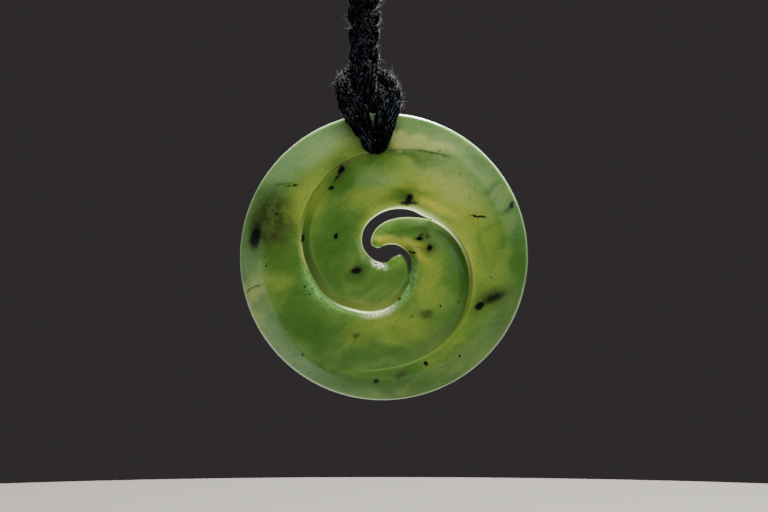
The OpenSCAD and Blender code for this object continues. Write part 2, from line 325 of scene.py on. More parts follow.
def arm(turns, inner, outer, inner_depth, outer_depth, inner_run, outer_run, tip_turns, steep):
    """The points of one arm's face, a row for each turn and columns from its inner line out."""
    width = outer - inner
    inner_run = np.minimum(inner_run, INNER_LIMIT * width)
    outer_run = np.minimum(outer_run, OUTER_LIMIT * width)
    crown = width - inner_run - outer_run
    fade = np.exp(-crown / CROWN_REACH)
    inner_top = CROWN_SHARE * (inner_depth + outer_depth * fade)
    outer_top = CROWN_SHARE * (outer_depth + inner_depth * fade)
    columns = []
    for s in INNER_SHARES:
        columns.append((s * inner_run,
                        inner_top + (inner_depth - inner_top) * (1 - s) ** steep))
    for k in range(CROWN_STEPS + 1):
        s = (1 - math.cos(math.pi * k / CROWN_STEPS)) / 2
        drop = CROWN_SHARE * (inner_depth * np.exp(-s * crown / CROWN_REACH)
                              + outer_depth * np.exp(-(1 - s) * crown / CROWN_REACH))
        columns.append((inner_run + s * crown, drop))
    for s in OUTER_SHARES:
        columns.append((inner_run + crown + s * outer_run,
                        outer_top + (outer_depth - outer_top) * s ** LONG_POWER))
    grown = np.clip((turns - turns[0]) / tip_turns, 0, 1) ** 0.5
    edge = (inner_depth + outer_depth) / 2
    places = np.zeros((len(turns), len(columns), 3))
    angle = np.radians(turns)
    for c, (away, drop) in enumerate(columns):
        drop = edge + (drop - edge) * grown
        radius = inner + away
        places[:, c, 0] = radius * np.cos(angle)
        places[:, c, 1] = -(face_height(radius) - drop)
        places[:, c, 2] = -radius * np.sin(angle)
    return places

# %% [markdown]
# Both arms are laid with a row at every degree. Past the slot they share their lines, so the edge
# points of one fall on those of the other, and merging them makes one skin.

# %% Lay the two arms
SLOT_SIDE_RUN = 1.6
MELT_FROM, MELT_OVER = 300, 93
TONGUE_TIP_TURNS, LOBE_TIP_TURNS = 22, 26
LOBE_STEEP = 2.2
turns = np.arange(TONGUE_TIP, TONGUE_END + 1.0)
after_foot, after_head = turns - 360 >= SLOT_FOOT, turns >= SLOT_HEAD
inner_depth = np.where(after_foot, lower_depth(turns - 360), tongue_under_depth(turns))
outer_depth = np.where(after_head, upper_depth(turns), tongue_over_depth(turns))
melt = np.clip((turns - MELT_FROM) / MELT_OVER, 0, 1)
tongue_arm = arm(
    turns,
    np.where(after_foot, lower_line(turns - 360), tongue_under(turns)),
    np.where(after_head, upper_line(turns), tongue_over(turns)),
    inner_depth, outer_depth,
    shoulder_width(turns - 360) * melt + SLOT_SIDE_RUN * (1 - melt), upper_strip(turns),
    TONGUE_TIP_TURNS, shoulder_steepness(turns - 360))

turns = np.arange(LOBE_TIP, LOBE_END + 1.0)
after_foot, after_head = turns >= SLOT_FOOT, turns >= SLOT_HEAD
inner_depth = np.where(after_head, upper_depth(turns), lobe_under_depth(turns))
outer_depth = np.where(after_foot, lower_depth(turns), lobe_over_depth(turns))
lobe_arm = arm(
    turns,
    np.where(after_head, upper_line(turns), lobe_under(turns)),
    np.where(after_foot, lower_line(turns), lobe_over(turns)),
    inner_depth, outer_depth, slot_edge_width(turns), lower_strip(turns), LOBE_TIP_TURNS,
    LOBE_STEEP)
print("arms:", tongue_arm.shape, lobe_arm.shape)

# %% [markdown]
# One face is laid, its outer ring is drawn out round the rim to the middle plane, and the other
# face is its mirror image. What stays open is the pierced slot, whose two edges are bridged into
# walls, so that the stone is one closed skin.

# %% Close the stone
MERGE_MM, RING_NEAR = 0.002, 0.01


def open_edges(bm, wanted):
    return [e for e in bm.edges if e.is_boundary and all(wanted(v.co) for v in e.verts)]


stone = bmesh.new()
net(stone, tongue_arm)
net(stone, lobe_arm)
bmesh.ops.remove_doubles(stone, verts=stone.verts, dist=MERGE_MM)
ring = open_edges(stone, lambda co: math.hypot(co.x, co.z) > MARGIN_R - RING_NEAR)
RIM_STEPS = 6
top_angle = math.acos(RIM_HALF / RIM_R)
for step in range(1, RIM_STEPS + 1):
    angle = top_angle + (math.pi / 2 - top_angle) * step / RIM_STEPS
    drawn = bmesh.ops.extrude_edge_only(stone, edges=ring)["geom"]
    ring = [g for g in drawn if isinstance(g, bmesh.types.BMEdge)]
    for vert in {v for e in ring for v in e.verts}:
        out = Vector((vert.co.x, 0, vert.co.z)).normalized()
        vert.co = out * (TABLE_R - RIM_R + RIM_R * math.sin(angle))
        vert.co.y = -RIM_R * math.cos(angle) if step < RIM_STEPS else 0
bmesh.ops.mirror(stone, geom=stone.verts[:] + stone.edges[:] + stone.faces[:],
                 matrix=Matrix.Identity(4), merge_dist=MERGE_MM / 2, axis="Y")
slot_edges = open_edges(stone, lambda co: True)
bmesh.ops.bridge_loops(stone, edges=slot_edges)
left_open = len(open_edges(stone, lambda co: True))
bmesh.ops.recalc_face_normals(stone, faces=stone.faces)
print("slot edges", len(slot_edges), "still open", left_open, "faces", len(stone.faces))

# %% [markdown]
# A stone that is finished by hand is never quite round or flat, so slow waves move its points a
# little: the rim becomes a hair oval and the faces a hair uneven.

# %% Slow waves of the hand
OVAL, THREE_SIDED, UNEVEN = 0.0025, 0.0018, 0.012
for vert in stone.verts:
    x, y, z = vert.co
    turn = math.atan2(z, x)
    away = math.hypot(x, z) / TABLE_R
    swell = 1 + away**2 * (OVAL * math.sin(2 * turn + 0.6)
                           + THREE_SIDED * math.sin(3 * turn + 2.2))
    thick = 1 + UNEVEN * math.sin(0.31 * x + 0.9) * math.sin(0.27 * z + 0.4)
    vert.co = Vector((x * swell, y * thick, z * swell)) * (DISC_R / TABLE_R)
print("stone reaches", round(max(vert.co.x for vert in stone.verts), 2), "mm to the right")

# %% [markdown]
# The cord hole is drilled through the finished stone, and its edges are eased for the cord. So the
# cutter is a turned bar with flared ends, and a boolean takes it out of the stone.

# %% Cut the cord hole
def turned(bm, profile, steps=64):
    """Spins a profile of (radius, place) points round the Y axis into a closed skin."""
    verts = [bm.verts.new((radius, place, 0)) for radius, place in profile]
    edges = [bm.edges.new(pair) for pair in zip(verts, verts[1:])]
    bmesh.ops.spin(bm, geom=verts + edges, cent=(0, 0, 0), axis=(0, 1, 0), angle=2 * math.pi,
                   steps=steps, use_merge=True)
    bmesh.ops.remove_doubles(bm, verts=bm.verts, dist=1e-4)
    bmesh.ops.recalc_face_normals(bm, faces=bm.faces)


HOLE = Vector((-1.0, 0, 14.1))
HOLE_HALF_PROFILE = [(1.7, 0), (1.7, 1.3), (1.74, 2.0), (1.95, 2.5), (2.5, 3.2), (3.2, 4), (0, 4)]
cutter = bmesh.new()
turned(cutter, [(r, -y) for r, y in reversed(HOLE_HALF_PROFILE)] + HOLE_HALF_PROFILE[1:])
bmesh.ops.translate(cutter, verts=cutter.verts, vec=HOLE)


def plain_object(bm, name):
    mesh = bpy.data.meshes.new(name)
    bm.to_mesh(mesh)
    bm.free()
    made = bpy.data.objects.new(name, mesh)
    bpy.context.scene.collection.objects.link(made)
    return made


drill, uncut = plain_object(cutter, "drill"), plain_object(stone, "uncut_stone")
cut = uncut.modifiers.new("cut", "BOOLEAN")
cut.operation, cut.solver, cut.object = "DIFFERENCE", "EXACT", drill
bpy.context.view_layer.update()
drilled = bmesh.new()
drilled.from_mesh(uncut.evaluated_get(bpy.context.evaluated_depsgraph_get()).to_mesh())
bpy.data.objects.remove(uncut)
bpy.data.objects.remove(drill)
bmesh.ops.transform(drilled, verts=drilled.verts,
                    matrix=Matrix.Scale(MM, 4) @ Matrix.Translation(DISC_CENTRE))
print("drilled stone:", len(drilled.faces), "faces, open edges",
      sum(e.is_boundary for e in drilled.edges))

# %% [markdown]
# Nephrite is a dense mat of fibres that lets light in and scatters it, so the shader is a
# subsurface one under a polished skin. Its colour is clouds of green, brushed along by the stone's
# own grain, with yellow and brown zones, and black specks. Each patch of colour is a soft ellipse
# that one node group draws, so a patch is one row of a table.

# %% A soft spot of colour
def spot_group():
    """A soft ellipse in the disc's plane: its share of full strength, 0 to 1."""
    tree = bpy.data.node_groups.new("spot", "ShaderNodeTree")
    face = tree.interface
    face.new_socket("place", in_out="INPUT", socket_type="NodeSocketVector")
    for name in ("x", "z", "angle", "length", "width", "edge"):
        face.new_socket(name, in_out="INPUT", socket_type="NodeSocketFloat")
    face.new_socket("share", in_out="OUTPUT", socket_type="NodeSocketFloat")
    given = tree.nodes.new("NodeGroupInput").outputs
    apart = add("ShaderNodeSeparateXYZ", {0: given["place"]}).outputs
    dx = maths("SUBTRACT", apart[0], given["x"])
    dz = maths("SUBTRACT", apart[2], given["z"])
    cosine, sine = maths("COSINE", given["angle"], 0), maths("SINE", given["angle"], 0)
    along = maths("ADD", times(dx, cosine), times(dz, sine))
    over = maths("SUBTRACT", times(dz, cosine), times(dx, sine))
    far = add("ShaderNodeCombineXYZ", {
        0: maths("DIVIDE", along, given["length"]), 1: maths("DIVIDE", over, given["width"])})
    size = add("ShaderNodeVectorMath", {0: far.outputs[0]}, operation="LENGTH").outputs["Value"]
    low = maths("SUBTRACT", 1.0, given["edge"])
    high = maths("ADD", 1.0, given["edge"])
    plug(tree.nodes.new("NodeGroupOutput"), {"share": span(size, low, high, 1.0, 0.0)})
    return tree


SPOT = spot_group()


def spots(place, rows):
    """The strongest of many spots. A row is [x, z, angle, length, width, edge, strength]."""
    total = None
    for x, z, angle, length, width, edge, strength in rows:
        made = add("ShaderNodeGroup", {
            "place": place, "x": x, "z": z, "angle": math.radians(angle), "length": length,
            "width": width, "edge": edge}, node_tree=SPOT)
        share = times(made.outputs["share"], strength)
        total = share if total is None else maths("MAXIMUM", total, share)
    return total

# %% [markdown]
# The finish changes along the carved lines, and much of it is light and shade painted into the
# colour.
# The polishing wheel can't reach into a groove's foot, so a frosted band stays there, with rough and
# pitted stretches; the frost's pale colour is partly a painted highlight and the pitted stretch
# carries a painted white highlight. The lips carry a painted cream glow and painted white highlights,
# for the light that passes the thin stone, and they are even a little lit by a painted glow. The
# slope just before a line carries painted shade in some stretches and painted light in others, the
# margin's facet a painted sheen behind a painted highlight on a fine crest, and the rim a painted
# highlight. Each mark is worked out from a point's distance to a line and stored on the mesh as an
# attribute, which the material reads, because no pattern in space could follow the spiral.

# %% How strong each mark is, turn by turn
# Frosted band at a groove's foot, whose pale colour is partly a painted highlight, turn by turn.
frost_highlight_share = smooth_line([
    (0, 0.3), (15, 0.9), (30, 1), (70, 1), (90, 0.7), (110, 0.5), (130, 0.9), (160, 1), (178, 0.3),
    (195, 0), (360, 0)])
frost_highlight_reach = smooth_line([
    (0, 0.8), (20, 1.2), (60, 1.25), (90, 0.8), (125, 1.1), (158, 1.6), (180, 0.5), (360, 0.4)])
# Pitted stretch with a painted white highlight, turn by turn.
pitted_highlight_share = smooth_line([(0, 0), (72, 0), (84, 1), (104, 1), (112, 0.3), (122, 0), (360, 0)])
# Painted highlight on the lower line's lip, turn by turn.
lower_lip_highlight = smooth_line([
    (0, 0), (84, 0), (94, 0.7), (128, 1), (137, 0.3), (146, 0), (165, 0), (178, 0.25), (192, 0.2),
    (215, 0), (360, 0)])
# Painted cream glow on the lower line's lip and step, turn by turn.
lower_lip_glow = smooth_line([
    (0, 0), (164, 0), (176, 0.8), (190, 0.9), (205, 0.4), (240, 0.25), (262, 0), (360, 0)])
# Painted highlight on the slot's lips.
slot_lip_highlight = smooth_line([
    (0, 0.5), (40, 0.7), (90, 0.9), (180, 0.5), (230, 0.6), (280, 1), (318, 1), (335, 0.9),
    (350, 0.5), (370, 0.15), (395, 0), (540, 0)])
# Painted cream glow on the slot's upper lip.
slot_lip_glow = smooth_line([
    (0, 0), (200, 0), (240, 0.6), (270, 1), (330, 1), (350, 0.8), (375, 0.5), (400, 0.2), (420, 0),
    (540, 0)])
# Painted shade on the flank before the lower line, and below it on the flank before the upper line,
# turn by turn.
lower_flank_shade = smooth_line([
    (0, 0), (150, 0), (175, 0.8), (200, 0.75), (220, 0.3), (255, 0.15), (285, 0), (360, 0)])
upper_flank_shade = smooth_line([(318, 0.5), (335, 1), (378, 1), (398, 0.4), (425, 0), (540, 0)])
# Painted highlight on the lip of the upper groove's tail, turn by turn.
tail_highlight = smooth_line([(318, 0), (395, 0), (415, 0.6), (445, 1), (458, 0.8), (465, 0), (540, 0)])
# Painted light on the flank before the lower line, turn by turn.
lower_flank_light = smooth_line([
    (0, 0), (60, 0.2), (85, 0.9), (130, 0.9), (160, 0.3), (180, 0), (360, 0)])
# Painted sheen, a reflection on the margin's facet, turn by turn.
margin_sheen_share = smooth_line([
    (0, 0), (40, 0.1), (90, 0.2), (108, 0.6), (125, 0.8), (150, 0.75), (175, 0.4), (205, 0.5),
    (240, 0.6), (270, 0.35), (300, 0.2), (340, 0.08), (360, 0)])
# Painted highlight on the rim, turn by turn.
lit_rim = smooth_line([
    (0, 0.4), (50, 0.6), (120, 0.8), (180, 0.6), (200, 0.7), (250, 1), (320, 1), (345, 0.4),
    (360, 0.4)])
edge_reach = smooth_line([
    (0, 0.15), (180, 0.16), (230, 0.22), (260, 0.28), (290, 0.5), (305, 0.75), (318, 0.8),
    (335, 0.5), (350, 0.35), (370, 0.25), (540, 0.2)])
facet_line = smooth_line([
    (0, 14.6), (90, 15.6), (105, 15.5), (118, 15.5), (129, 15.35), (140, 15.0), (152, 14.65),
    (164, 14.75), (180, 14.6), (200, 14.4), (360, 14.6)])
facet_step = smooth_line([
    (0, 2.4), (90, 1.2), (105, 0.5), (118, 0.35), (150, 0.35), (170, 0.5), (190, 1.6), (360, 2.4)])
print("the facet's line lies", float(facet_line(129)), "mm out at the lower left")

# %% [markdown]
# A mark has one of three profiles across its line: a hump on it, a band that fades past it, or a
# strip on the slope before it. The turn of a point is counted on or back by a full round where a line
# runs past 360 degrees or starts before 0.

# %% Marks along the carved lines
LIP_RISE, STRIP_END = 0.06, 0.1
FAR = 9
COUNT_ON_BELOW, COUNT_BACK_ABOVE = 105, 330
FOOT_EASE, HEAD_EASE, LINE_EASE = 6, 3, 0.1
CREST_R, CREST_HALF = 14.8, 0.07
LIT_FROM, LIT_OVER = 17.22, 0.2


def hump(at, middle, spread):
    return np.exp(-((at - middle) / spread) ** 2)


def fading(past, reach):
    """1 at a line, falling to 0 at reach past it, and quickly to 0 before it."""
    return np.clip(1 - past / reach, 0, 1) ** 1.5 * np.clip(1 + past / LIP_RISE, 0, 1)


def strip(past, soft=0.45, wide=1.5):
    """1 on the slope just before a line, soft at its crest."""
    return np.clip((past + wide) / soft, 0, 1) * np.clip(1 - past / STRIP_END, 0, 1)


def line_marks(mesh):
    """Stores how strong each mark is at each point of the stone, from 0 to about 1."""
    at = np.empty(3 * len(mesh.vertices))
    mesh.vertices.foreach_get("co", at)
    x, _, z = ((at.reshape(-1, 3) / MM - np.array(DISC_CENTRE)) * TABLE_R / DISC_R).T
    away, turn = np.hypot(x, z), np.degrees(np.arctan2(-z, x)) % 360
    after = np.where(turn < COUNT_ON_BELOW, turn + 360, turn)
    before = np.where(turn > COUNT_BACK_ABOVE, turn - 360, turn)
    past_lower = np.where(turn > SLOT_FOOT - FOOT_EASE, away - lower_line(turn), -FAR)
    past_upper = np.where(after > SLOT_HEAD - HEAD_EASE, away - upper_line(after), -FAR)
    in_tongue = (after > TONGUE_TIP - 1) & (away < tongue_over(after) + LINE_EASE)
    in_tongue &= (after < SLOT_HEAD) | (past_upper < 0)
    past_slot = np.where((before < SLOT_HEAD) & ~in_tongue, away - lobe_under(before), -FAR)
    in_lobe = (before > SLOT_FOOT) | (away < lobe_over(before) + LINE_EASE)
    past_slot = np.where(in_lobe, past_slot, -FAR)
    past_edge = np.where(after > SLOT_HEAD, past_upper, past_slot)
    edge_turn = np.where(after > SLOT_HEAD, after, turn)
    past_tongue = np.where(in_tongue, away - tongue_under(after), FAR)
    past_top = np.where(in_tongue & (after < SLOT_HEAD), tongue_over(after) - away, FAR)
    near_foot = hump(turn, 18, 22) * (in_tongue & (after > 360)) * fading(past_tongue, 1.2)
    marks = {
        # frost at the groove's foot, its pale colour partly a painted highlight
        "frost_and_highlight": np.maximum(frost_highlight_share(turn) * fading(past_lower, frost_highlight_reach(turn)), near_foot),
        # painted highlight on the lips
        "lip_highlight": np.maximum.reduce([
            lower_lip_highlight(turn) * fading(past_lower, 0.2 - 0.06 * hump(turn, 187, 25)),
            slot_lip_highlight(edge_turn) * fading(past_edge, edge_reach(edge_turn)),
            0.8 * hump(turn, 300, 45) * fading(past_tongue, 0.25),
            0.45 * fading(past_top, 0.15)]),
        # pitted stretch with a painted white highlight
        "pitted_highlight": pitted_highlight_share(turn) * fading(past_lower, 1.0),
        # painted cream glow on the lips and the tongue's lower edge
        "cream_glow": np.maximum.reduce([
            slot_lip_glow(edge_turn) * fading(past_edge, 1.2),
            lower_lip_glow(turn) * fading(past_lower, 0.4),
            0.8 * hump(turn, 300, 40) * fading(past_tongue, 1.2)]),
        # painted shade on the flanks just before the lines
        "painted_flank_shade": np.maximum(upper_flank_shade(after) * strip(past_upper, 0.5, 1.75),
                           lower_flank_shade(turn) * strip(past_lower)),
        # painted light on the lower flank, and a painted highlight along its inner crest
        "painted_flank_light": np.maximum(lower_flank_light(turn) * strip(past_lower, 1.4),
                           0.5 * hump(turn, 185, 35) * hump(past_lower, -1.3, 0.1)),
        # painted sheen, a reflection on the margin's facet
        "margin_sheen": margin_sheen_share(turn) * np.clip(
            (away - facet_line(turn)) / facet_step(turn) + 0.3, 0, 1),
        # painted highlight along the facet's crest and along the groove tail's lip
        "crest": np.maximum(hump(turn, 196, 18) * hump(away, CREST_R, CREST_HALF),
                            tail_highlight(after) * hump(past_upper, 0.06, 0.1)),
        # painted highlight on the rim
        "rim": lit_rim(turn) * np.clip((away - LIT_FROM) / LIT_OVER, 0, 1)}
    for name, values in marks.items():
        mesh.attributes.new(name, "FLOAT", "POINT").data.foreach_set("value", values)
    print("marks:", {name: round(float(values.max()), 2) for name, values in marks.items()})

# %% [markdown]
# The stone's zones and flecks are tables with one row for each patch, placed where the
# photographed stone has it. A zone is a wide soft cloud of one tint, and most are the stone's own,
# but a few rows paint light and shade: a painted highlight among the pale zones, painted light over
# the shade round the cord's foot among the cream ones, and painted shade under a ridge among the deep
# ones. The marks at the slot are painted highlights, and the black spots are grains of another
# mineral, short and sharp or thin and long.

# %% Where the zones and flecks lie
# [x, z, angle, length, width, edge, strength], in mm and degrees from the disc's centre
PALE_AND_HIGHLIGHT_ZONES = [
    [7.6, 11.2, -38, 6.5, 3.0, 0.8, 0.5], [-6.5, 13.6, 28, 5.0, 1.6, 0.8, 0.7],
    [-12.6, -10.0, -48, 4.0, 1.2, 0.8, 0.3], [6.2, 4.0, -50, 2.0, 1.6, 0.9, 0.3],
    # The second row on the next line is a painted highlight on the tongue's upper right.
    [0.6, 9.6, 5, 3.6, 1.0, 0.9, 0.45], [7.5, 0.8, -80, 2.8, 0.9, 0.9, 0.5],
    [-2.6, 0.5, -62, 1.5, 0.35, 0.8, 0.5]]
YELLOW_ZONES = [
    [7.0, 7.0, -35, 6.0, 2.6, 0.7, 0.8], [9.8, 2.2, -68, 4.6, 1.5, 0.7, 0.85],
    [-9.2, 7.2, 50, 4.2, 2.0, 0.7, 0.65], [5.4, -2.4, 80, 3.4, 1.2, 0.8, 0.5],
    [0.7, -8.6, 4, 4.8, 1.7, 0.9, 0.55], [12.6, -2.2, 80, 4.2, 1.6, 0.9, 0.22],
    [-0.6, 7.3, 10, 3.6, 1.2, 0.7, 0.55], [7.5, -10.5, 45, 3.5, 1.5, 0.8, 0.3],
    [-12.4, -2.6, 80, 2.6, 1.2, 0.8, 0.3], [-4.5, 12.6, 30, 3.5, 1.4, 0.9, 0.3],
    [-2.8, -6.0, -30, 2.5, 0.9, 0.7, 0.35], [13.0, 1.8, 88, 2.2, 0.9, 0.9, 0.45]]
CREAM_AND_LIT_ZONES = [
    # The first row on the next line is partly a pale patch of the stone and partly painted light over
    # the shade round the cord's foot; the second row is painted light there.
    [4.0, 13.75, -8, 4.4, 0.85, 0.5, 0.8], [1.9, 14.2, 75, 1.2, 0.9, 0.5, 0.85],
    [-15.8, -4.0, 60, 1.9, 1.0, 0.8, 0.6],
    [-15.2, -7.0, 65, 2.4, 0.9, 0.8, 0.3], [7.6, 8.6, -32, 3.8, 1.3, 0.9, 0.45]]
GOLD_ZONES = [
    [6.0, 6.2, -28, 2.8, 0.5, 0.8, 0.7], [1.3, 1.85, -8, 2.9, 0.5, 0.8, 0.95],
    [4.0, 0.5, -42, 1.7, 0.45, 0.9, 0.55], [3.4, 8.4, -10, 2.2, 0.4, 0.9, 0.35]]
DEEP_AND_SHADED_ZONES = [
    [-6.3, 1.6, 85, 4.2, 2.1, 0.7, 0.75], [-9.4, -9.0, -40, 4.0, 2.3, 0.7, 0.95],
    [3.0, 3.9, -12, 2.6, 0.9, 0.8, 0.75], [-5.4, -4.6, -50, 2.4, 1.1, 0.8, 0.6],
    [0.2, -11.9, 3, 5.5, 1.1, 0.6, 0.7], [-12.2, -0.6, 20, 1.8, 1.8, 0.8, 0.8],
    [16.6, -1.0, 92, 6.5, 1.2, 0.6, 0.8], [-4.7, 9.0, 42, 2.8, 0.9, 0.8, 0.75],
    [2.6, 7.4, 8, 2.4, 0.9, 0.8, 0.7], [-3.4, -2.0, 10, 1.3, 0.9, 0.9, 0.6],
    [8.4, -0.4, -76, 4.2, 1.6, 0.7, 0.75], [8.6, -7.6, 50, 3.2, 1.6, 0.8, 0.6],
    [-14.4, 6.8, 55, 2.6, 1.3, 0.8, 0.6], [-0.5, -14.6, 0, 6.5, 1.4, 0.7, 0.7],
    [3.0, -9.8, -20, 2.6, 0.8, 0.8, 0.4], [-13.2, -5.4, 15, 3.0, 0.8, 0.7, 0.5],
    [14.7, -5.8, 62, 2.8, 1.3, 0.8, 0.65], [13.2, 8.8, 21, 2.0, 0.4, 0.9, 0.7],
    # The last row on the next line is painted shade under the ridge to the right of the hole.
    [14.8, 6.0, 20, 1.3, 0.5, 0.9, 0.7], [2.8, 12.3, -9, 3.2, 0.5, 0.6, 0.75]]
BROWN_ZONES = [
    [-13.6, 4.4, 78, 3.6, 2.6, 0.6, 0.95], [-15.0, 3.4, 80, 2.3, 1.2, 0.7, 0.8],
    [12.9, -4.9, 20, 1.6, 0.8, 0.8, 0.5], [4.8, 3.4, -28, 1.8, 0.7, 0.9, 0.7],
    [-14.2, 2.2, 80, 1.2, 0.7, 0.9, 0.9],
    [-15.7, -3.8, 30, 1.3, 0.12, 0.6, 0.9], [5.0, -7.0, 0, 0.7, 0.5, 0.7, 0.8],
    [2.2, -14.2, 30, 0.8, 0.4, 0.7, 0.9], [-3.3, -9.5, 50, 0.55, 0.3, 0.7, 0.7],
    [-12.2, 8.7, -4, 2.0, 0.14, 0.8, 0.6], [-5.6, 9.2, 60, 1.4, 0.4, 0.9, 0.5]]
# Painted highlights at the slot: a bright patch under it and a small one at its foot.
SLOT_HIGHLIGHTS = [[-0.6, -0.95, -25, 0.9, 0.42, 0.8, 1], [1.95, 0.12, 30, 0.16, 0.12, 0.5, 1]]
BLACK_SPOTS = [
    [5.7, 12.6, -10, 2.3, 0.12, 0.9, 0.6], [7.2, 12.2, -20, 0.9, 0.1, 0.9, 0.5],
    [-5.1, 10.5, 65, 0.62, 0.36, 0.4, 1], [-5.6, 9.6, 58, 0.8, 0.14, 0.6, 0.9],
    [-6.35, 8.3, 35, 0.36, 0.22, 0.4, 1],
    [-10.7, 8.6, 0, 0.3, 0.12, 0.5, 1], [-11.6, 8.6, -8, 0.6, 0.07, 0.6, 0.8],
    [-5.75, 2.5, 85, 0.38, 0.21, 0.35, 1], [-3.3, -1.65, 10, 0.66, 0.46, 0.45, 1],
    [3.05, 6.95, 75, 0.7, 0.42, 0.5, 1], [2.95, 6.5, 0, 1.1, 0.26, 0.6, 1],
    [11.4, 4.85, -4, 0.95, 0.14, 0.5, 1], [15.55, 6.3, 70, 0.5, 0.27, 0.3, 1],
    [15.1, 5.75, 40, 0.7, 0.18, 0.9, 0.6],
    [4.3, 2.2, 5, 0.55, 0.26, 0.5, 1], [4.5, 2.65, 30, 0.3, 0.16, 0.6, 0.8],
    [5.3, 2.45, 0, 0.35, 0.25, 0.7, 0.7], [5.5, 1.1, 60, 0.42, 0.36, 0.45, 1],
    [11.6, -5.9, 35, 0.66, 0.42, 0.35, 1],
    [13.3, -4.95, 22, 1.35, 0.45, 0.7, 0.9], [5.1, -12.9, 0, 0.3, 0.28, 0.35, 1],
    [-0.9, -15.0, 0, 0.33, 0.3, 0.35, 1], [-9.8, -11.8, 0, 0.18, 0.16, 0.4, 1],
    [9.2, -12.0, 0, 0.18, 0.16, 0.4, 1], [1.9, -5.15, 0, 0.2, 0.18, 0.4, 1],
    [6.9, -5.9, 0, 0.12, 0.12, 0.4, 1], [9.0, -5.5, 0, 0.12, 0.12, 0.4, 0.9],
    [-15.5, 2.4, 80, 1.4, 0.7, 0.45, 1], [-15.4, 3.6, 60, 0.7, 0.6, 0.8, 0.7],
    [3.5, 0.5, -15, 0.5, 0.13, 0.5, 1], [-9.8, 2.25, 82, 0.5, 0.22, 0.5, 1],
    [-9.5, -3.6, 0, 0.12, 0.12, 0.4, 1], [-8.9, -4.5, 0, 0.1, 0.1, 0.4, 1],
    [-14.2, -1.1, 0, 0.14, 0.14, 0.4, 0.9], [-12.9, 5.2, 0, 0.12, 0.12, 0.4, 0.9]]
print("black spots:", len(BLACK_SPOTS))

# %% [markdown]
# The colour is built in layers, each a share, a strength and a tint that is mixed over what lies
# below. First come clouds and veins of green, which are noises drawn out along the stone's grain.
# The zones are laid on them at places that a noise pushes about, so no ellipse keeps a clean edge.
# Fine streaks, grain and specks come last, because they run through every zone.

# %% The stone's own colours, with a painted sheen on the margin and a few painted zones
jade, tree, skin = new_material("jade")
place = add("ShaderNodeMapping", {
    "Vector": object_place(tree), "Location": DISC_CENTRE * -1,
    "Scale": (1 / MM,) * 3}).outputs[0]
GRAIN_ANGLE, STREAK_ANGLE = 28, 36


def mark(name):
    return add("ShaderNodeAttribute", {}, tree, attribute_name=name).outputs["Fac"]


def layered(colour, layers):
    for share, strength, tint in layers:
        colour = mixed(times(share, strength), colour, srgb(*tint))
    return colour


brushed = drawn_out(pushed(place, 0.22, 3.0), GRAIN_ANGLE, 7.0, 3.6)
clouds = noise(brushed, 1.0, 3, 0.5, 0.3)
veins = noise(brushed, 2.4, 2, 0.5, 0.2)
streaks = noise(drawn_out(pushed(place, 0.3, 2.5), STREAK_ANGLE, 3.6, 0.5), 1.0, 4, 0.6)
mottle = noise(place, 1.0, 3, 0.6)
grain = noise(place, 5.5, 2, 0.6)
specks = noise(place, 3.4, 1, 0.5)
soft_place = pushed(place, 0.25, 3.2, 1)
brown = times(spots(pushed(place, 0.6, 1.4), BROWN_ZONES), span(mottle, 0.35, 0.6, 0.65, 1))
halo = spots(pushed(place, 0.9, 1.0), [
    [*row[:3], 1.5 * row[3] + 0.3, 1.5 * row[4] + 0.35, 0.9, 0.5]
    for row in BLACK_SPOTS if row[4] > 0.3])
colour = mixed(span(clouds, 0.3, 0.7), srgb(70, 106, 40), srgb(98, 130, 54))
colour = layered(colour, [
    (span(veins, 0.45, 0.8), 0.3, (138, 160, 80)),
    # painted sheen, a reflection on the margin's facet
    (mark("margin_sheen"), 0.7, (128, 162, 126)),
    # the pale, deep and cream zones hold a few rows of painted light and shade
    (spots(soft_place, PALE_AND_HIGHLIGHT_ZONES), 1, (140, 164, 110)),
    (spots(soft_place, YELLOW_ZONES), 1, (150, 164, 64)),
    (spots(soft_place, DEEP_AND_SHADED_ZONES), 1, (56, 97, 31)),
    (spots(pushed(place, 0.5, 1.6), CREAM_AND_LIT_ZONES), 1, (172, 180, 104)),
    (spots(pushed(place, 0.8, 0.9), GOLD_ZONES), 1, (190, 188, 76)),
    (brown, 1, (48, 52, 20)),
    (halo, 1, (38, 58, 20)),
    (span(streaks, 0.5, 0.8), 0.08, (160, 186, 98)),
    (span(streaks, 0.5, 0.25), 0.2, (48, 82, 30)),
    (span(grain, 0.35, 0.7), 0.2, (60, 94, 34)),
    (span(specks, 0.735, 0.76), 0.85, (24, 40, 16))])
print("colour layers:", len([node for node in tree.nodes if node.type == "MIX"]))

# %% [markdown]
# Over the stone's own colour lie the marks along the carved lines, from the painted shade on the
# strips to the painted highlights on the lips. A noise breaks up the frost, the pits and the lips, so
# that the frost and its painted highlights come in patches. The black spots are mixed in at the end,
# since a black grain stays black under any polish.

# %% The frost, and the painted light and shade along the lines
LIP_ANGLE = -30
# noise that breaks the frost and the painted lip highlights into patches
patchiness = noise(place, 2.6, 5, 0.7)
pits = noise(place, 5.0, 3, 0.65)
# streaks that draw out the painted highlights at the slot
highlight_streaks = noise(drawn_out(place, LIP_ANGLE, 0.6, 0.13), 1.0, 3, 0.6)
# frost, whose pale colour is partly a painted highlight
frost_and_highlight = times(mark("frost_and_highlight"), span(patchiness, 0.32, 0.56))
# painted highlight on the lips, broken into patches
lip_highlight = times(mark("lip_highlight"), span(patchiness, 0.3, 0.5, 0.45, 1))
# pitted stretch with a painted white highlight
pitted_highlight = times(mark("pitted_highlight"), span(pits, 0.4, 0.56))
pocks = times(span(noise(place, 2.6, 1), 0.66, 0.7), span(mark("frost_and_highlight"), 0.02, 0.2))
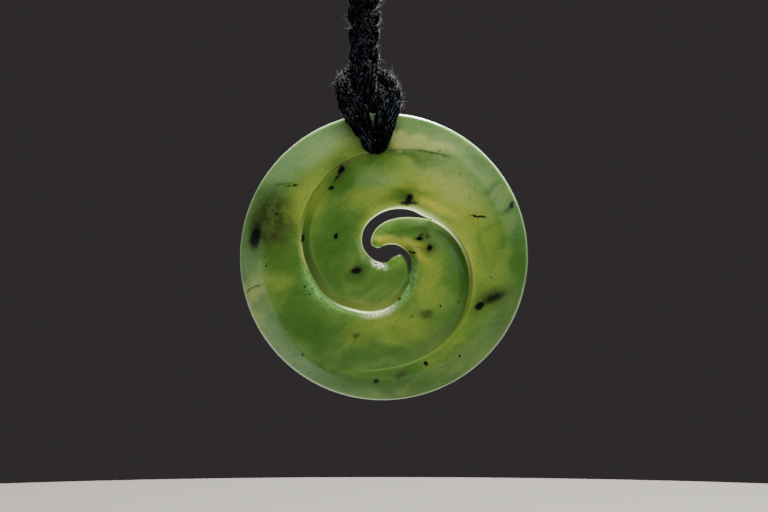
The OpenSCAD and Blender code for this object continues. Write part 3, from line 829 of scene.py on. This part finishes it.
# painted highlights at the slot
slot_highlight = spots(pushed(place, 1.2, 0.7), SLOT_HIGHLIGHTS)
black = spots(pushed(place, 2.5, 0.62, 4), BLACK_SPOTS)
colour = layered(colour, [
    # painted shade on the flanks just before the lines
    (mark("painted_flank_shade"), 0.75, (36, 72, 18)),
    # painted light on the lower flanks
    (mark("painted_flank_light"), 0.7, (144, 152, 60)),
    # painted highlight along the crests
    (mark("crest"), 0.3, (154, 180, 106)),
    # painted highlight on the rim
    (mark("rim"), 0.75, (210, 232, 196)),
    # frost colour, partly a painted highlight
    (frost_and_highlight, 0.8, (146, 208, 124)),
    # painted cream glow on the lips
    (mark("cream_glow"), 0.8, (186, 196, 84)),
    # painted white highlight on the pitted stretch
    (pitted_highlight, 0.95, (236, 246, 222)),
    # painted highlight on the lips
    (lip_highlight, 1, (240, 255, 206)),
    (pocks, 0.85, (26, 44, 18)),
    # painted highlights at the slot, streaked
    (times(slot_highlight, span(highlight_streaks, 0.38, 0.62)), 1, (252, 255, 244)),
    (black, 1, (10, 16, 8))])
print("colour layers:", len([node for node in tree.nodes if node.type == "MIX"]))

# %% [markdown]
# The skin itself. Light enters nephrite and comes out again a millimetre or two away, green most of
# all, so most of the colour is subsurface, under a smooth polish that is duller where it is frosted.
# The thinnest lips, the pitted stretch and the slot highlights also get a weak painted glow, an
# emission which stands for the light that reaches them from behind. A slow ripple and the frost's
# grain roughen the surface a little.

# %% The stone's skin
GLOW_POWER, GLOW_STRENGTH = 2.5, 1.6
# Painted glow where the lips, the pitted stretch and the slot highlights are painted bright.
glow = maths("MAXIMUM", lip_highlight, times(pitted_highlight, 0.75))
glow = maths("MAXIMUM", glow, times(slot_highlight, span(highlight_streaks, 0.42, 0.66)))
glow = times(glow, maths("SUBTRACT", 1.0, black))
ripple = noise(place, 0.8, 2)
plug(skin, {
    "Base Color": colour, "Roughness": span(frost_and_highlight, 0, 1, 0.22, 0.4), "Specular IOR Level": 0.4,
    "Subsurface Weight": 0.85, "Subsurface Radius": (0.6, 1.1, 0.4), "Subsurface Scale": 0.0022,
    "Emission Color": srgb(236, 255, 188),
    "Emission Strength": times(maths("POWER", glow, GLOW_POWER), GLOW_STRENGTH),
    "Normal": bumped(maths("ADD", times(ripple, 0.35), times(frost_and_highlight, 0.8)), 0.5, 0.00012)})
jade_disc = piece_from(drilled, "jade_disc", jade, ["spiral_disc"])
line_marks(jade_disc.data)
print("jade_disc:", faces_of(jade_disc), "triangles")

# %% [markdown]
# The cords. Two lengths of plied yarn are folded together through the hole, and each piece here is
# one whole cord: down its strand of the plait, round the hitch, and up its other strand. A route is
# a list of given places, and the plait is a formula. The two cords run side by side
# through the hitch, so one route serves both: a row also says which way, and how far, a cord steps
# aside from it.

# %% Routes, as the solids have them
HITCH_ROUTE = [
    (-2.0, -0.3, 9.5, 0.6, 0.6, 0), (-2.15, -0.55, 8.5, 0.3, 0.75, 0),
    (-2.1, -0.75, 7.4, 0, 0.75, 0.05), (-2.05, -0.65, 6.4, 0, 0.7, 0.25),
    (-1.95, 0, 5.2, 0, 0.6, 0.5), (-2.0, 1.1, 4.65, 0, 0.5, 0.6),
    (-2.1, 2.35, 3.6, 0, 0.6, 0.45), (-2.0, 3.3, 2.3, 0, 0.7, 0.25),
    (-1.5, 3.55, 1.2, 0, 0.75, -0.25), (-1.05, 3.2, 0.4, 0, 0.6, -0.55),
    (-0.8, 2.4, 0, 0, 0.35, -0.7), (-0.71, 1.2, 0, 0, 0, -0.71), (-0.71, 0, 0, 0, 0, -0.71),
    (-0.71, -1.2, 0, 0, 0, -0.71), (-0.71, -2.2, 0, 0, 0, -0.71),
    (-0.75, -3.05, 0.2, 0, -0.3, -0.75), (-1.15, -3.5, 0.95, -0.3, -0.6, -0.4),
    (-1.75, -3.6, 1.95, -0.6, -0.4, -0.25), (-2.4, -3.4, 3.15, -0.65, -0.25, -0.35),
    (-3.1, -3.0, 4.5, -0.6, -0.4, -0.2), (-3.65, -2.0, 5.6, -0.4, -0.65, 0.25),
    (-3.85, -0.8, 6.5, -0.3, -0.4, 0.6), (-3.3, 0.8, 7.2, -0.2, -0.2, 0.7),
    (-2.2, 1.9, 7.45, 0, 0.1, 0.75), (-1.3, 2.05, 7.5, 0, 0.1, 0.75),
    (-0.3, 1.8, 7.5, 0.1, 0, 0.75), (0.75, 0.8, 7.25, 0.25, -0.3, 0.6),
    (1.4, -0.85, 6.25, 0.5, -0.3, 0.5), (1.65, -1.85, 5.35, 0.7, -0.3, 0.2),
    (1.7, -2.6, 4.5, 0.7, -0.3, 0), (1.45, -3.3, 3.25, 0.65, -0.35, -0.1),
    (1.15, -3.6, 2.0, 0.6, -0.45, -0.1), (0.95, -3.5, 0.95, 0.3, -0.6, -0.4),
    (0.75, -3.05, 0.2, 0, -0.3, -0.75), (0.71, -2.2, 0, 0, 0, -0.71),
    (0.71, -1.2, 0, 0, 0, -0.71), (0.71, 0, 0, 0, 0, -0.71), (0.71, 1.2, 0, 0, 0, -0.71),
    (0.75, 2.4, 0, 0, 0.35, -0.7), (0.85, 3.2, 0.4, 0, 0.6, -0.55),
    (0.95, 3.55, 1.2, 0, 0.75, -0.25), (0.9, 3.3, 2.3, 0, 0.7, 0.25),
    (0.7, 2.35, 3.6, 0, 0.6, 0.5), (0.15, 1.15, 4.6, 0.1, 0.55, 0.6),
    (-0.4, -0.2, 4.95, 0, 0.6, 0.5), (-0.65, -0.85, 6.1, 0, 0.7, 0.25),
    (-0.65, -0.95, 7.3, 0, 0.75, 0.05), (-0.65, -1.2, 8.5, 0.3, 0.75, 0),
    (-0.8, -1.5, 9.5, 0.6, 0.6, 0)]
NECK_Y, NECK_FOOT = -122, -208
NECK_ROUTE = [
    (1.35, NECK_Y, NECK_FOOT), (4, NECK_Y, -196), (11, -121, -172), (19, -119, -149),
    (28, -116, -126), (38, -111, -104), (48, -103, -82), (57, -92, -62), (63, -78, -44),
    (66, -60, -29), (64, -41, -17), (57, -25, -9), (45, -12, -3), (30, -4, 0), (15, -1, 1.7),
    (5, 0, 1.9)]
PLAIT_AT = Vector((0, NECK_Y, DISC_CENTRE.z + HOLE.z + 9.5))
PLAIT_QUARTERS, PLAIT_QUARTER_H = 6, 2.4
UNDER_R, OVER_R = 0.6, 1.78


def smooth_route(route, steps=12):
    """Points of a smooth curve through the route, with steps between two of its points."""
    rows = np.array(route, float)
    last = len(rows) - 1
    made = []
    for i in range(last):
        a, b, c, d = rows[max(i - 1, 0)], rows[i], rows[i + 1], rows[min(i + 2, last)]
        for k in range(steps):
            t = k / steps
            made.append(b + 0.5 * t * ((c - a) + t * ((2 * a - 5 * b + 4 * c - d)
                                                      + t * (3 * (b - c) + d - a))))
    made.append(rows[-1])
    return np.array(made)


def hitch_line(step):
    rows = smooth_route(HITCH_ROUTE)
    return rows[:, :3] + step * rows[:, 3:] + np.array(HOLE) + np.array(DISC_CENTRE)


def plait_line(start, hand, per_quarter=12):
    """One strand of the plait from its foot up. It weaves over and under the others."""
    i = np.arange(PLAIT_QUARTERS * per_quarter + 1)
    turn = np.radians(start + hand * 90 * i / per_quarter)
    radius = (OVER_R + UNDER_R) / 2 + hand * (OVER_R - UNDER_R) / 2 * np.sin(2 * turn)
    return np.stack([PLAIT_AT.x + radius * np.cos(turn), PLAIT_AT.y + radius * np.sin(turn),
                     PLAIT_AT.z + i * PLAIT_QUARTER_H / per_quarter], axis=1)


def evenly(points, spacing):
    """The same line with points at an even spacing."""
    gone = np.concatenate([[0], np.cumsum(np.linalg.norm(np.diff(points, axis=0), axis=1))])
    at = np.linspace(0, gone[-1], max(int(gone[-1] / spacing), 2) + 1)
    return np.stack([np.interp(at, gone, points[:, k]) for k in range(3)], axis=1), at


print("the hitch's route is", round(evenly(hitch_line(1), 1)[1][-1]), "mm long")

# %% [markdown]
# A yarn is a tube: a grid wrapped round its route. Its section is three plies side by side, turned
# a little at every ring, as a plied yarn is. In the plait the section is squeezed flat against the
# plait's middle. The UV map runs in mm along the cord and once round it, and carries the streaks.

# %% How a yarn is wrapped round its route
PLY_OUT, PLY_R = 0.36, 0.64
THIRD = 2 * math.pi / 3
SWELL = 0.035


def carried_frames(points):
    """The way along at each point, and two directions across it that don't twist."""
    way = np.gradient(points, axis=0)
    way /= np.linalg.norm(way, axis=1)[:, None]
    side = np.zeros_like(way)
    side[0] = np.cross(way[0], (0.3, 0.2, 0.9))
    for i in range(len(way)):
        if i:
            side[i] = side[i - 1]
        side[i] -= way[i] * np.dot(side[i], way[i])
        side[i] /= np.linalg.norm(side[i])
    return way, side, np.cross(way, side)


draw = np.random.default_rng(11)


def uneven(rows, columns, amount):
    """Small random swells over a tube, closed round it, which make a spun yarn uneven."""
    coarse = draw.normal(size=(rows // 2 + 2, columns))
    coarse = coarse + np.roll(coarse, 1, axis=1)
    at = np.arange(rows) / 2
    low, share = at.astype(int), (at % 1)[:, None]
    swell = 1 + amount * (coarse[low] * (1 - share) + coarse[low + 1] * share)
    return np.concatenate([swell, swell[:, :1]], axis=1)


def yarn(bm, points, at, radius, pitch, sides, flat=None, start=0.0):
    """A plied yarn along evenly spaced points. flat is (squeeze, direction) at each point."""
    way, side, other = carried_frames(points)
    angle = 2 * math.pi * np.arange(sides + 1) / sides
    swell = uneven(len(points), sides, SWELL)
    rows = []
    for i, point in enumerate(points):
        twist = start + 2 * math.pi * at[i] / pitch
        off = (angle - twist + THIRD / 2) % THIRD - THIRD / 2
        section = PLY_OUT * np.cos(off) + np.sqrt(PLY_R**2 - (PLY_OUT * np.sin(off)) ** 2)
        section = section * radius[i] * swell[i]
        if flat is not None:
            squeeze, out = flat[0][i], flat[1][i]
            lean = math.atan2(np.dot(out, other[i]), np.dot(out, side[i]))
            thin, wide = 1 - 0.5 * squeeze, 1 + squeeze
            section = section * thin * wide / np.sqrt((wide * np.cos(angle - lean)) ** 2
                                                      + (thin * np.sin(angle - lean)) ** 2)
        rows.append(point + section[:, None] * (np.cos(angle)[:, None] * side[i]
                                                + np.sin(angle)[:, None] * other[i]))
    ends = [np.repeat(points[k][None], sides + 1, axis=0) for k in (0, -1)]
    places = np.array([ends[0], *rows, ends[1]]) * MM
    along = np.concatenate([[at[0]], at, [at[-1]]])
    marks = np.stack(np.broadcast_arrays(along[:, None], angle[None] / (2 * math.pi)), axis=2)
    net(bm, places, marks)


def close_up(bm):
    bmesh.ops.remove_doubles(bm, verts=bm.verts, dist=1e-6)
    bmesh.ops.dissolve_degenerate(bm, edges=bm.edges, dist=1e-7)
    bmesh.ops.recalc_face_normals(bm, faces=bm.faces)

# %% [markdown]
# The yarn is black, but not evenly so: its fibres lie in strands along it. Pale strands painted into
# its colour stand for the few that catch the light, a painted sheen. Noises drawn out along the UV
# map make the strands, and a slow one in space makes patches where they show. The cord has no shine
# of its own, so its only sheen is these painted strands.

# %% Black yarn
def yarn_material():
    material, tree, skin = new_material("black_yarn")
    mark = add("ShaderNodeUVMap", {}, tree, uv_map="UVMap").outputs[0]
    wide, fine = [add("ShaderNodeMapping", {"Vector": mark, "Scale": scale}).outputs[0]
                  for scale in ((1.5, 22, 1), (3.0, 60, 1))]
    streaks, strands = noise(wide, 1.0, 3, 0.6), noise(fine, 1.0, 2)
    patches = noise(object_place(tree), 420.0, 2)
    # painted sheen: pale strands where the fibres would catch the light, in patches
    lit = times(span(streaks, 0.47, 0.7), span(patches, 0.38, 0.62, 0.3, 1))
    plug(skin, {
        "Base Color": mixed(lit, srgb(2, 2, 3), srgb(62, 66, 74)), "Roughness": 0.8,
        "Specular IOR Level": 0.0,
        "Normal": bumped(maths("ADD", streaks, times(strands, 0.6)), 0.7, 0.0001)})
    return material


def cord_piece(bm, name, nodes, size):
    close_up(bm)
    piece = piece_from(bm, name, black_yarn, nodes)
    print(name, size, faces_of(piece), "triangles")


black_yarn = yarn_material()
print("black_yarn:", len(black_yarn.node_tree.nodes), "nodes")

# %% [markdown]
# The two folded cords. The hole is tight, so the four passes of cord are pressed together in it and
# each becomes thinner there. Just above the hitch the plait is drawn in, because the cords pull on
# it, and at its top each strand runs on into the binding.

# %% The two folded cords
LEG_R, PRESSED_R, PLAIT_R = 0.8, 0.62, 0.68
PLY_PITCH = 5.0
YARN_STEP = 0.2
INTO_LASHING, LASHING_SHARE = 3.0, 0.4
PLAIT_FROM, PLAIT_OVER = -1.5, 3
EASE_FROM, EASE_OVER = -1, 2
WAIST, WAIST_AT, WAIST_REACH, TAPER = 0.16, 0.8, 3.2, 0.04
HOLE_REACH, HOLE_BELOW = 2.4, -6
SAG_IN_HOLE = {-1: 0.1, 1: 0.28}
DRAWN_IN_HOLE = {-1: 0.2, 1: 0.62}
SQUEEZE_IN_PLAIT = 0.3
plait_middle = np.array(PLAIT_AT)[:2]


def into_lashing(end):
    """A point past a strand's end, inside the binding above it."""
    return np.append(end[:2] + (plait_middle - end[:2]) * LASHING_SHARE, end[2] + INTO_LASHING)


def draw_in(points, height):
    """Draws the points round the plait's foot towards its middle."""
    share = 1 - WAIST * hump(height, WAIST_AT, WAIST_REACH) - TAPER * (height > 0)
    share += (1 - share) * np.clip((EASE_FROM - height) / EASE_OVER, 0, 1)
    points[:, :2] = plait_middle + (points[:, :2] - plait_middle) * share[:, None]


def folded_cord(name, step, first, last, nodes, start):
    """One cord from strand to strand. first and last are (start angle, hand) in the plait."""
    up, down = plait_line(*last), plait_line(*first)[::-1]
    line = np.concatenate([[into_lashing(down[0])], down, hitch_line(step)[1:-1], up,
                           [into_lashing(up[-1])]])
    points, at = evenly(line, YARN_STEP)
    height = points[:, 2] - PLAIT_AT.z
    draw_in(points, height)
    in_plait = np.clip((height - PLAIT_FROM) / PLAIT_OVER, 0, 1)
    in_hole = np.exp(-((points[:, 1] - DISC_CENTRE.y) / HOLE_REACH) ** 4) * (height < HOLE_BELOW)
    points[:, 2] -= SAG_IN_HOLE[step] * in_hole
    points[:, 0] += DRAWN_IN_HOLE[step] * in_hole * (DISC_CENTRE.x + HOLE.x - points[:, 0])
    radius = LEG_R + (PRESSED_R - LEG_R) * in_hole
    radius = radius + (PLAIT_R - radius) * in_plait
    out = points - np.array([PLAIT_AT.x, PLAIT_AT.y, 0])
    out[:, 2] = 0
    out /= np.maximum(np.linalg.norm(out, axis=1), 1e-3)[:, None]
    bm = bmesh.new()
    yarn(bm, points, at, radius, PLY_PITCH, 30, (SQUEEZE_IN_PLAIT * in_plait, out), start)
    cord_piece(bm, name, nodes, f"{at[-1]:.0f} mm long,")
    return points, radius


inner_line = folded_cord("folded_cord_inner", -1, (180, 1), (270, -1),
                         ["hitch_cord_inner", "plait_strand_2", "plait_strand_4"], 0.4)
outer_line = folded_cord("folded_cord_outer", 1, (90, -1), (0, 1),
                         ["hitch_cord_outer", "plait_strand_3", "plait_strand_1"], 1.7)

# %% [markdown]
# The neck loop. Above the binding two cords go each way, laid loosely round each other, and they
# meet again at the nape. One route of the right side serves both, because the left is its mirror
# image.

# %% The neck loop
STRAND_R, LAY_R, LAY_PITCH = 0.6, 0.58, 14.0
LOOP_STEP, LOOP_SIDES = 0.6, 15


def neck_pair(name, hand, node):
    """The two cords of one side of the loop, laid round each other."""
    route = smooth_route(NECK_ROUTE)
    route = np.concatenate([[route[0] - (0, 0, 2.3)], route, [route[-1] - (4, 0, 0)]])
    points, at = evenly(route * (hand, 1, 1), LOOP_STEP)
    way, side, other = carried_frames(points)
    turn = 2 * math.pi * at / LAY_PITCH
    away = LAY_R * (np.cos(turn)[:, None] * side + np.sin(turn)[:, None] * other)
    bm = bmesh.new()
    for sign in (1, -1):
        yarn(bm, points + sign * away, at, np.full(len(at), STRAND_R), PLY_PITCH, LOOP_SIDES)
    cord_piece(bm, name, [node], f"{at[-1]:.0f} mm long,")


neck_pair("neck_cord_left_pair", -1, "neck_cord_left")
neck_pair("neck_cord_right_pair", 1, "neck_cord_right")

# %% [markdown]
# The bindings. A single thread is wound round the cords, each turn hard against the last, so each
# binding is a yarn along a helix. Its two ends are tucked in under the turns.

# %% Bindings
THREAD_R, THREAD_PITCH, THREAD_STEP = 0.36, 2.5, 0.35
STEPS_A_TURN, THREAD_SIDES = 40, 12
TUCK, TUCK_TURNS = 0.35, 0.3


def binding(name, centre, axis, length, outer, node):
    turns = length / (2 * THREAD_R)
    at_turn = np.linspace(0, turns, int(turns * STEPS_A_TURN) + 1)
    slide = (at_turn / turns - 0.5) * (length - 2 * THREAD_R)
    tuck = 1 - TUCK * np.clip(1 - np.minimum(at_turn, turns - at_turn) / TUCK_TURNS, 0, 1)
    reach = (outer - THREAD_R) * tuck
    angle = 2 * math.pi * at_turn
    round_a, round_b = reach * np.cos(angle), reach * np.sin(angle)
    line = {"X": (slide, round_a, round_b), "Z": (round_a, round_b, slide)}[axis]
    points, at = evenly(np.stack(line, axis=1) + np.array(centre), THREAD_STEP)
    bm = bmesh.new()
    yarn(bm, points, at, np.full(len(at), THREAD_R), THREAD_PITCH, THREAD_SIDES)
    cord_piece(bm, name, [node], f"{turns:.1f} turns,")


binding("plait_lashing_winding", (0, NECK_Y, NECK_FOOT - 2.5), "Z", 5, 2.7, "plait_lashing")
binding("nape_lashing_winding", (0, 0, 1.9), "X", 10, 1.9, "nape_lashing")

# %% [markdown]
# Loose fibres. Yarn is never clean: ends of its fibres stand out all round, and where the light
# comes from behind they shine as a bright fringe. Their pale grey is a painted highlight for that
# shine, since the fibres of a black yarn are dark. They grow thickest on the hitch's shoulders, where
# the cord rubs, and fewer stand in front, where they would hide the yarn.

# %% Where the fibres grow
FIBRES, TRIES_EACH = 4600, 15
SHOULDER_BELOW, SHOULDER_SPREAD, SHOULDER_OUT = 3.2, 2.0, 3
FRINGE_BELOW, FRINGE_OVER, FRINGE_LEAST = 8, 3, 0.1
EVERYWHERE, ON_RIGHT, ON_SHOULDER, LESS_IN_FRONT = 0.03, 0.3, 0.8, 0.6


def unit(rows):
    return rows / np.linalg.norm(rows, axis=1)[:, None]


def fibre_roots(count):
    """Random places on the two folded cords' skins: centre, radius, way along, way out."""
    lines = (inner_line, outer_line)
    points = np.concatenate([line[0] for line in lines])
    radius = np.concatenate([line[1] for line in lines])
    way = np.concatenate([unit(np.gradient(line[0], axis=0)) for line in lines])
    pick = draw.integers(len(points), size=count * TRIES_EACH)
    points, radius, way = points[pick], radius[pick], way[pick]
    out = unit(np.cross(way, draw.normal(size=(len(pick), 3))))
    right = np.clip(out[:, 0], 0, 1) ** 2 * (points[:, 0] > 0)
    height = points[:, 2] - PLAIT_AT.z
    shoulder = hump(height, -SHOULDER_BELOW, SHOULDER_SPREAD)
    shoulder *= np.clip(np.abs(points[:, 0]) / SHOULDER_OUT, 0, 1)
    shoulder *= np.clip(out[:, 2] + 0.2 * np.sign(points[:, 0]) * out[:, 0], 0, 1) ** 2
    high = np.clip((height + FRINGE_BELOW) / FRINGE_OVER, FRINGE_LEAST, 1)
    keep = (EVERYWHERE + ON_RIGHT * right + ON_SHOULDER * shoulder) * high
    keep *= 1 - LESS_IN_FRONT * np.clip(-out[:, 1], 0, 1)
    kept = np.flatnonzero(draw.random(len(pick)) < keep)[:count]
    return points[kept], radius[kept], way[kept], out[kept]


root, root_r, way, out = fibre_roots(FIBRES)
grown = len(root)
print("fibres:", grown)

# %% [markdown]
# Most fibres are short, a few are long, and every one leans and curls its own way. A fibre is far
# too thin to model as a skin, so each is one line of a curve object, whose bevel gives it four
# sides and which is tapered to nothing. All of them become one mesh.

# %% Loose fibres
FIBRE_R = 0.011
SHORT_SHARE, MIDDLE_SHARE = 0.86, 0.975
SHORT, MIDDLE, LONG = (0.1, 0.22), (0.45, 0.4), (0.9, 0.6)
CURL_ACROSS, CURL_ALONG = 0.8, 0.5
STOPS, THICKNESS = (0, 0.1, 0.4, 0.7, 1), (0, 1, 0.9, 0.65, 0)
kind = draw.random(grown)[:, None]
size = draw.random((grown, 1))
least, more = np.select([kind < SHORT_SHARE, kind < MIDDLE_SHARE],
                        [np.array(SHORT), np.array(MIDDLE)], np.array(LONG)).T[:, :, None]
reach = least + more * size
lean = draw.uniform(0.15, 1.0, (grown, 1))
heading = out * lean + way * draw.choice((-1, 1), (grown, 1)) * (1.1 - lean)
curl = np.cross(out, way) * draw.normal(size=(grown, 1)) * CURL_ACROSS
curl += way * draw.normal(size=(grown, 1)) * CURL_ALONG
start = root + out * root_r[:, None] * 0.9
places = np.stack([start + (heading * share + curl * share**2) * reach for share in STOPS], axis=1)
fibre_lines = bpy.data.curves.new("fibre_lines", "CURVE")
fibre_lines.dimensions = "3D"
fibre_lines.bevel_depth, fibre_lines.bevel_resolution = FIBRE_R * MM, 0
for row, thick in zip(places * MM, draw.uniform(0.6, 1.2, grown)):
    line = fibre_lines.splines.new("POLY")
    line.points.add(len(STOPS) - 1)
    line.points.foreach_set("co", np.concatenate([row, np.ones((len(row), 1))], axis=1).ravel())
    line.points.foreach_set("radius", np.array(THICKNESS) * thick)
holder = bpy.data.objects.new("fibre_lines", fibre_lines)
bpy.context.scene.collection.objects.link(holder)
bpy.context.view_layer.update()
fibres = bmesh.new()
fibres.from_mesh(holder.evaluated_get(bpy.context.evaluated_depsgraph_get()).to_mesh())
bpy.data.objects.remove(holder)
close_up(fibres)
# Painted highlight: the fibres are pale grey, for their shine against the light behind.
glinting_fibre, tree, skin = new_material("glinting_fibre")
tint = noise(object_place(tree), 900.0, 1)
plug(skin, {"Base Color": mixed(tint, srgb(110, 116, 116), srgb(190, 200, 192)), "Roughness": 0.4})
loose_fibres = piece_from(fibres, "loose_fibres", glinting_fibre)
print("loose_fibres:", grown, "fibres,", faces_of(loose_fibres), "triangles")

# %% [markdown]
# A pale floor lies below, and the world all round is plain and dark, so that lit edges stand out.
# The strongest lamp stands behind and above the pendant, a little to the right, and shines through
# thin lips and loose fibres. Wider and weaker lamps in front lift the face. Those that are not
# glossy leave no reflection of themselves on the polish.

# %% Floor, world and lamps
FLOOR_R, FLOOR_Z = 0.32, -0.311
floor_bm = bmesh.new()
bmesh.ops.create_circle(floor_bm, cap_ends=True, segments=96, radius=FLOOR_R)
bmesh.ops.translate(floor_bm, verts=floor_bm.verts,
                    vec=(DISC_CENTRE.x * MM, DISC_CENTRE.y * MM, FLOOR_Z))
floor = plain_object(floor_bm, "floor")
floor_finish, tree, skin = new_material("floor_finish")
plug(skin, {"Base Color": srgb(118, 116, 111), "Roughness": 0.8})
floor.data.materials.append(floor_finish)

world = bpy.data.worlds.new("room")
world.use_nodes = True
plug(world.node_tree.nodes["Background"], {"Color": srgb(52, 48, 50), "Strength": 1.0})
bpy.context.scene.world = world


def lamp(name, side, height, near, size, power, colour=(1, 1, 1), glossy=True):
    """A square soft lamp aimed at the disc, placed from it in metres: right, up, towards us."""
    data = bpy.data.lights.new(name, "AREA")
    data.size, data.energy, data.color = size, power, colour
    made = bpy.data.objects.new(name, data)
    target = DISC_CENTRE * MM
    made.location = target + Vector((side, -near, height))
    made.rotation_euler = (target - made.location).to_track_quat("-Z", "Y").to_euler()
    made.visible_glossy = glossy
    bpy.context.scene.collection.objects.link(made)


lamp("sun_lamp", 0.12, 0.5, -0.34, 0.14, 16, (1.0, 0.97, 0.92))
lamp("top_lamp", 0.06, 0.6, 0.14, 0.1, 1.0, (1.0, 0.98, 0.95), glossy=False)
lamp("front_lamp", 0.1, 0.5, 0.6, 0.8, 6.5, glossy=False)
lamp("face_lamp", -0.05, 0.0, 0.6, 0.5, 1.3, glossy=False)
lamp("low_lamp", 0.26, -0.45, 0.11, 0.3, 3.2)
lamp("left_lamp", -0.45, -0.2, 0.3, 0.6, 0.35, (0.9, 0.95, 1.0))
lamp("right_lamp", 0.45, 0.35, 0.3, 0.6, 1.0)
print("lamps:", len(bpy.data.lights))
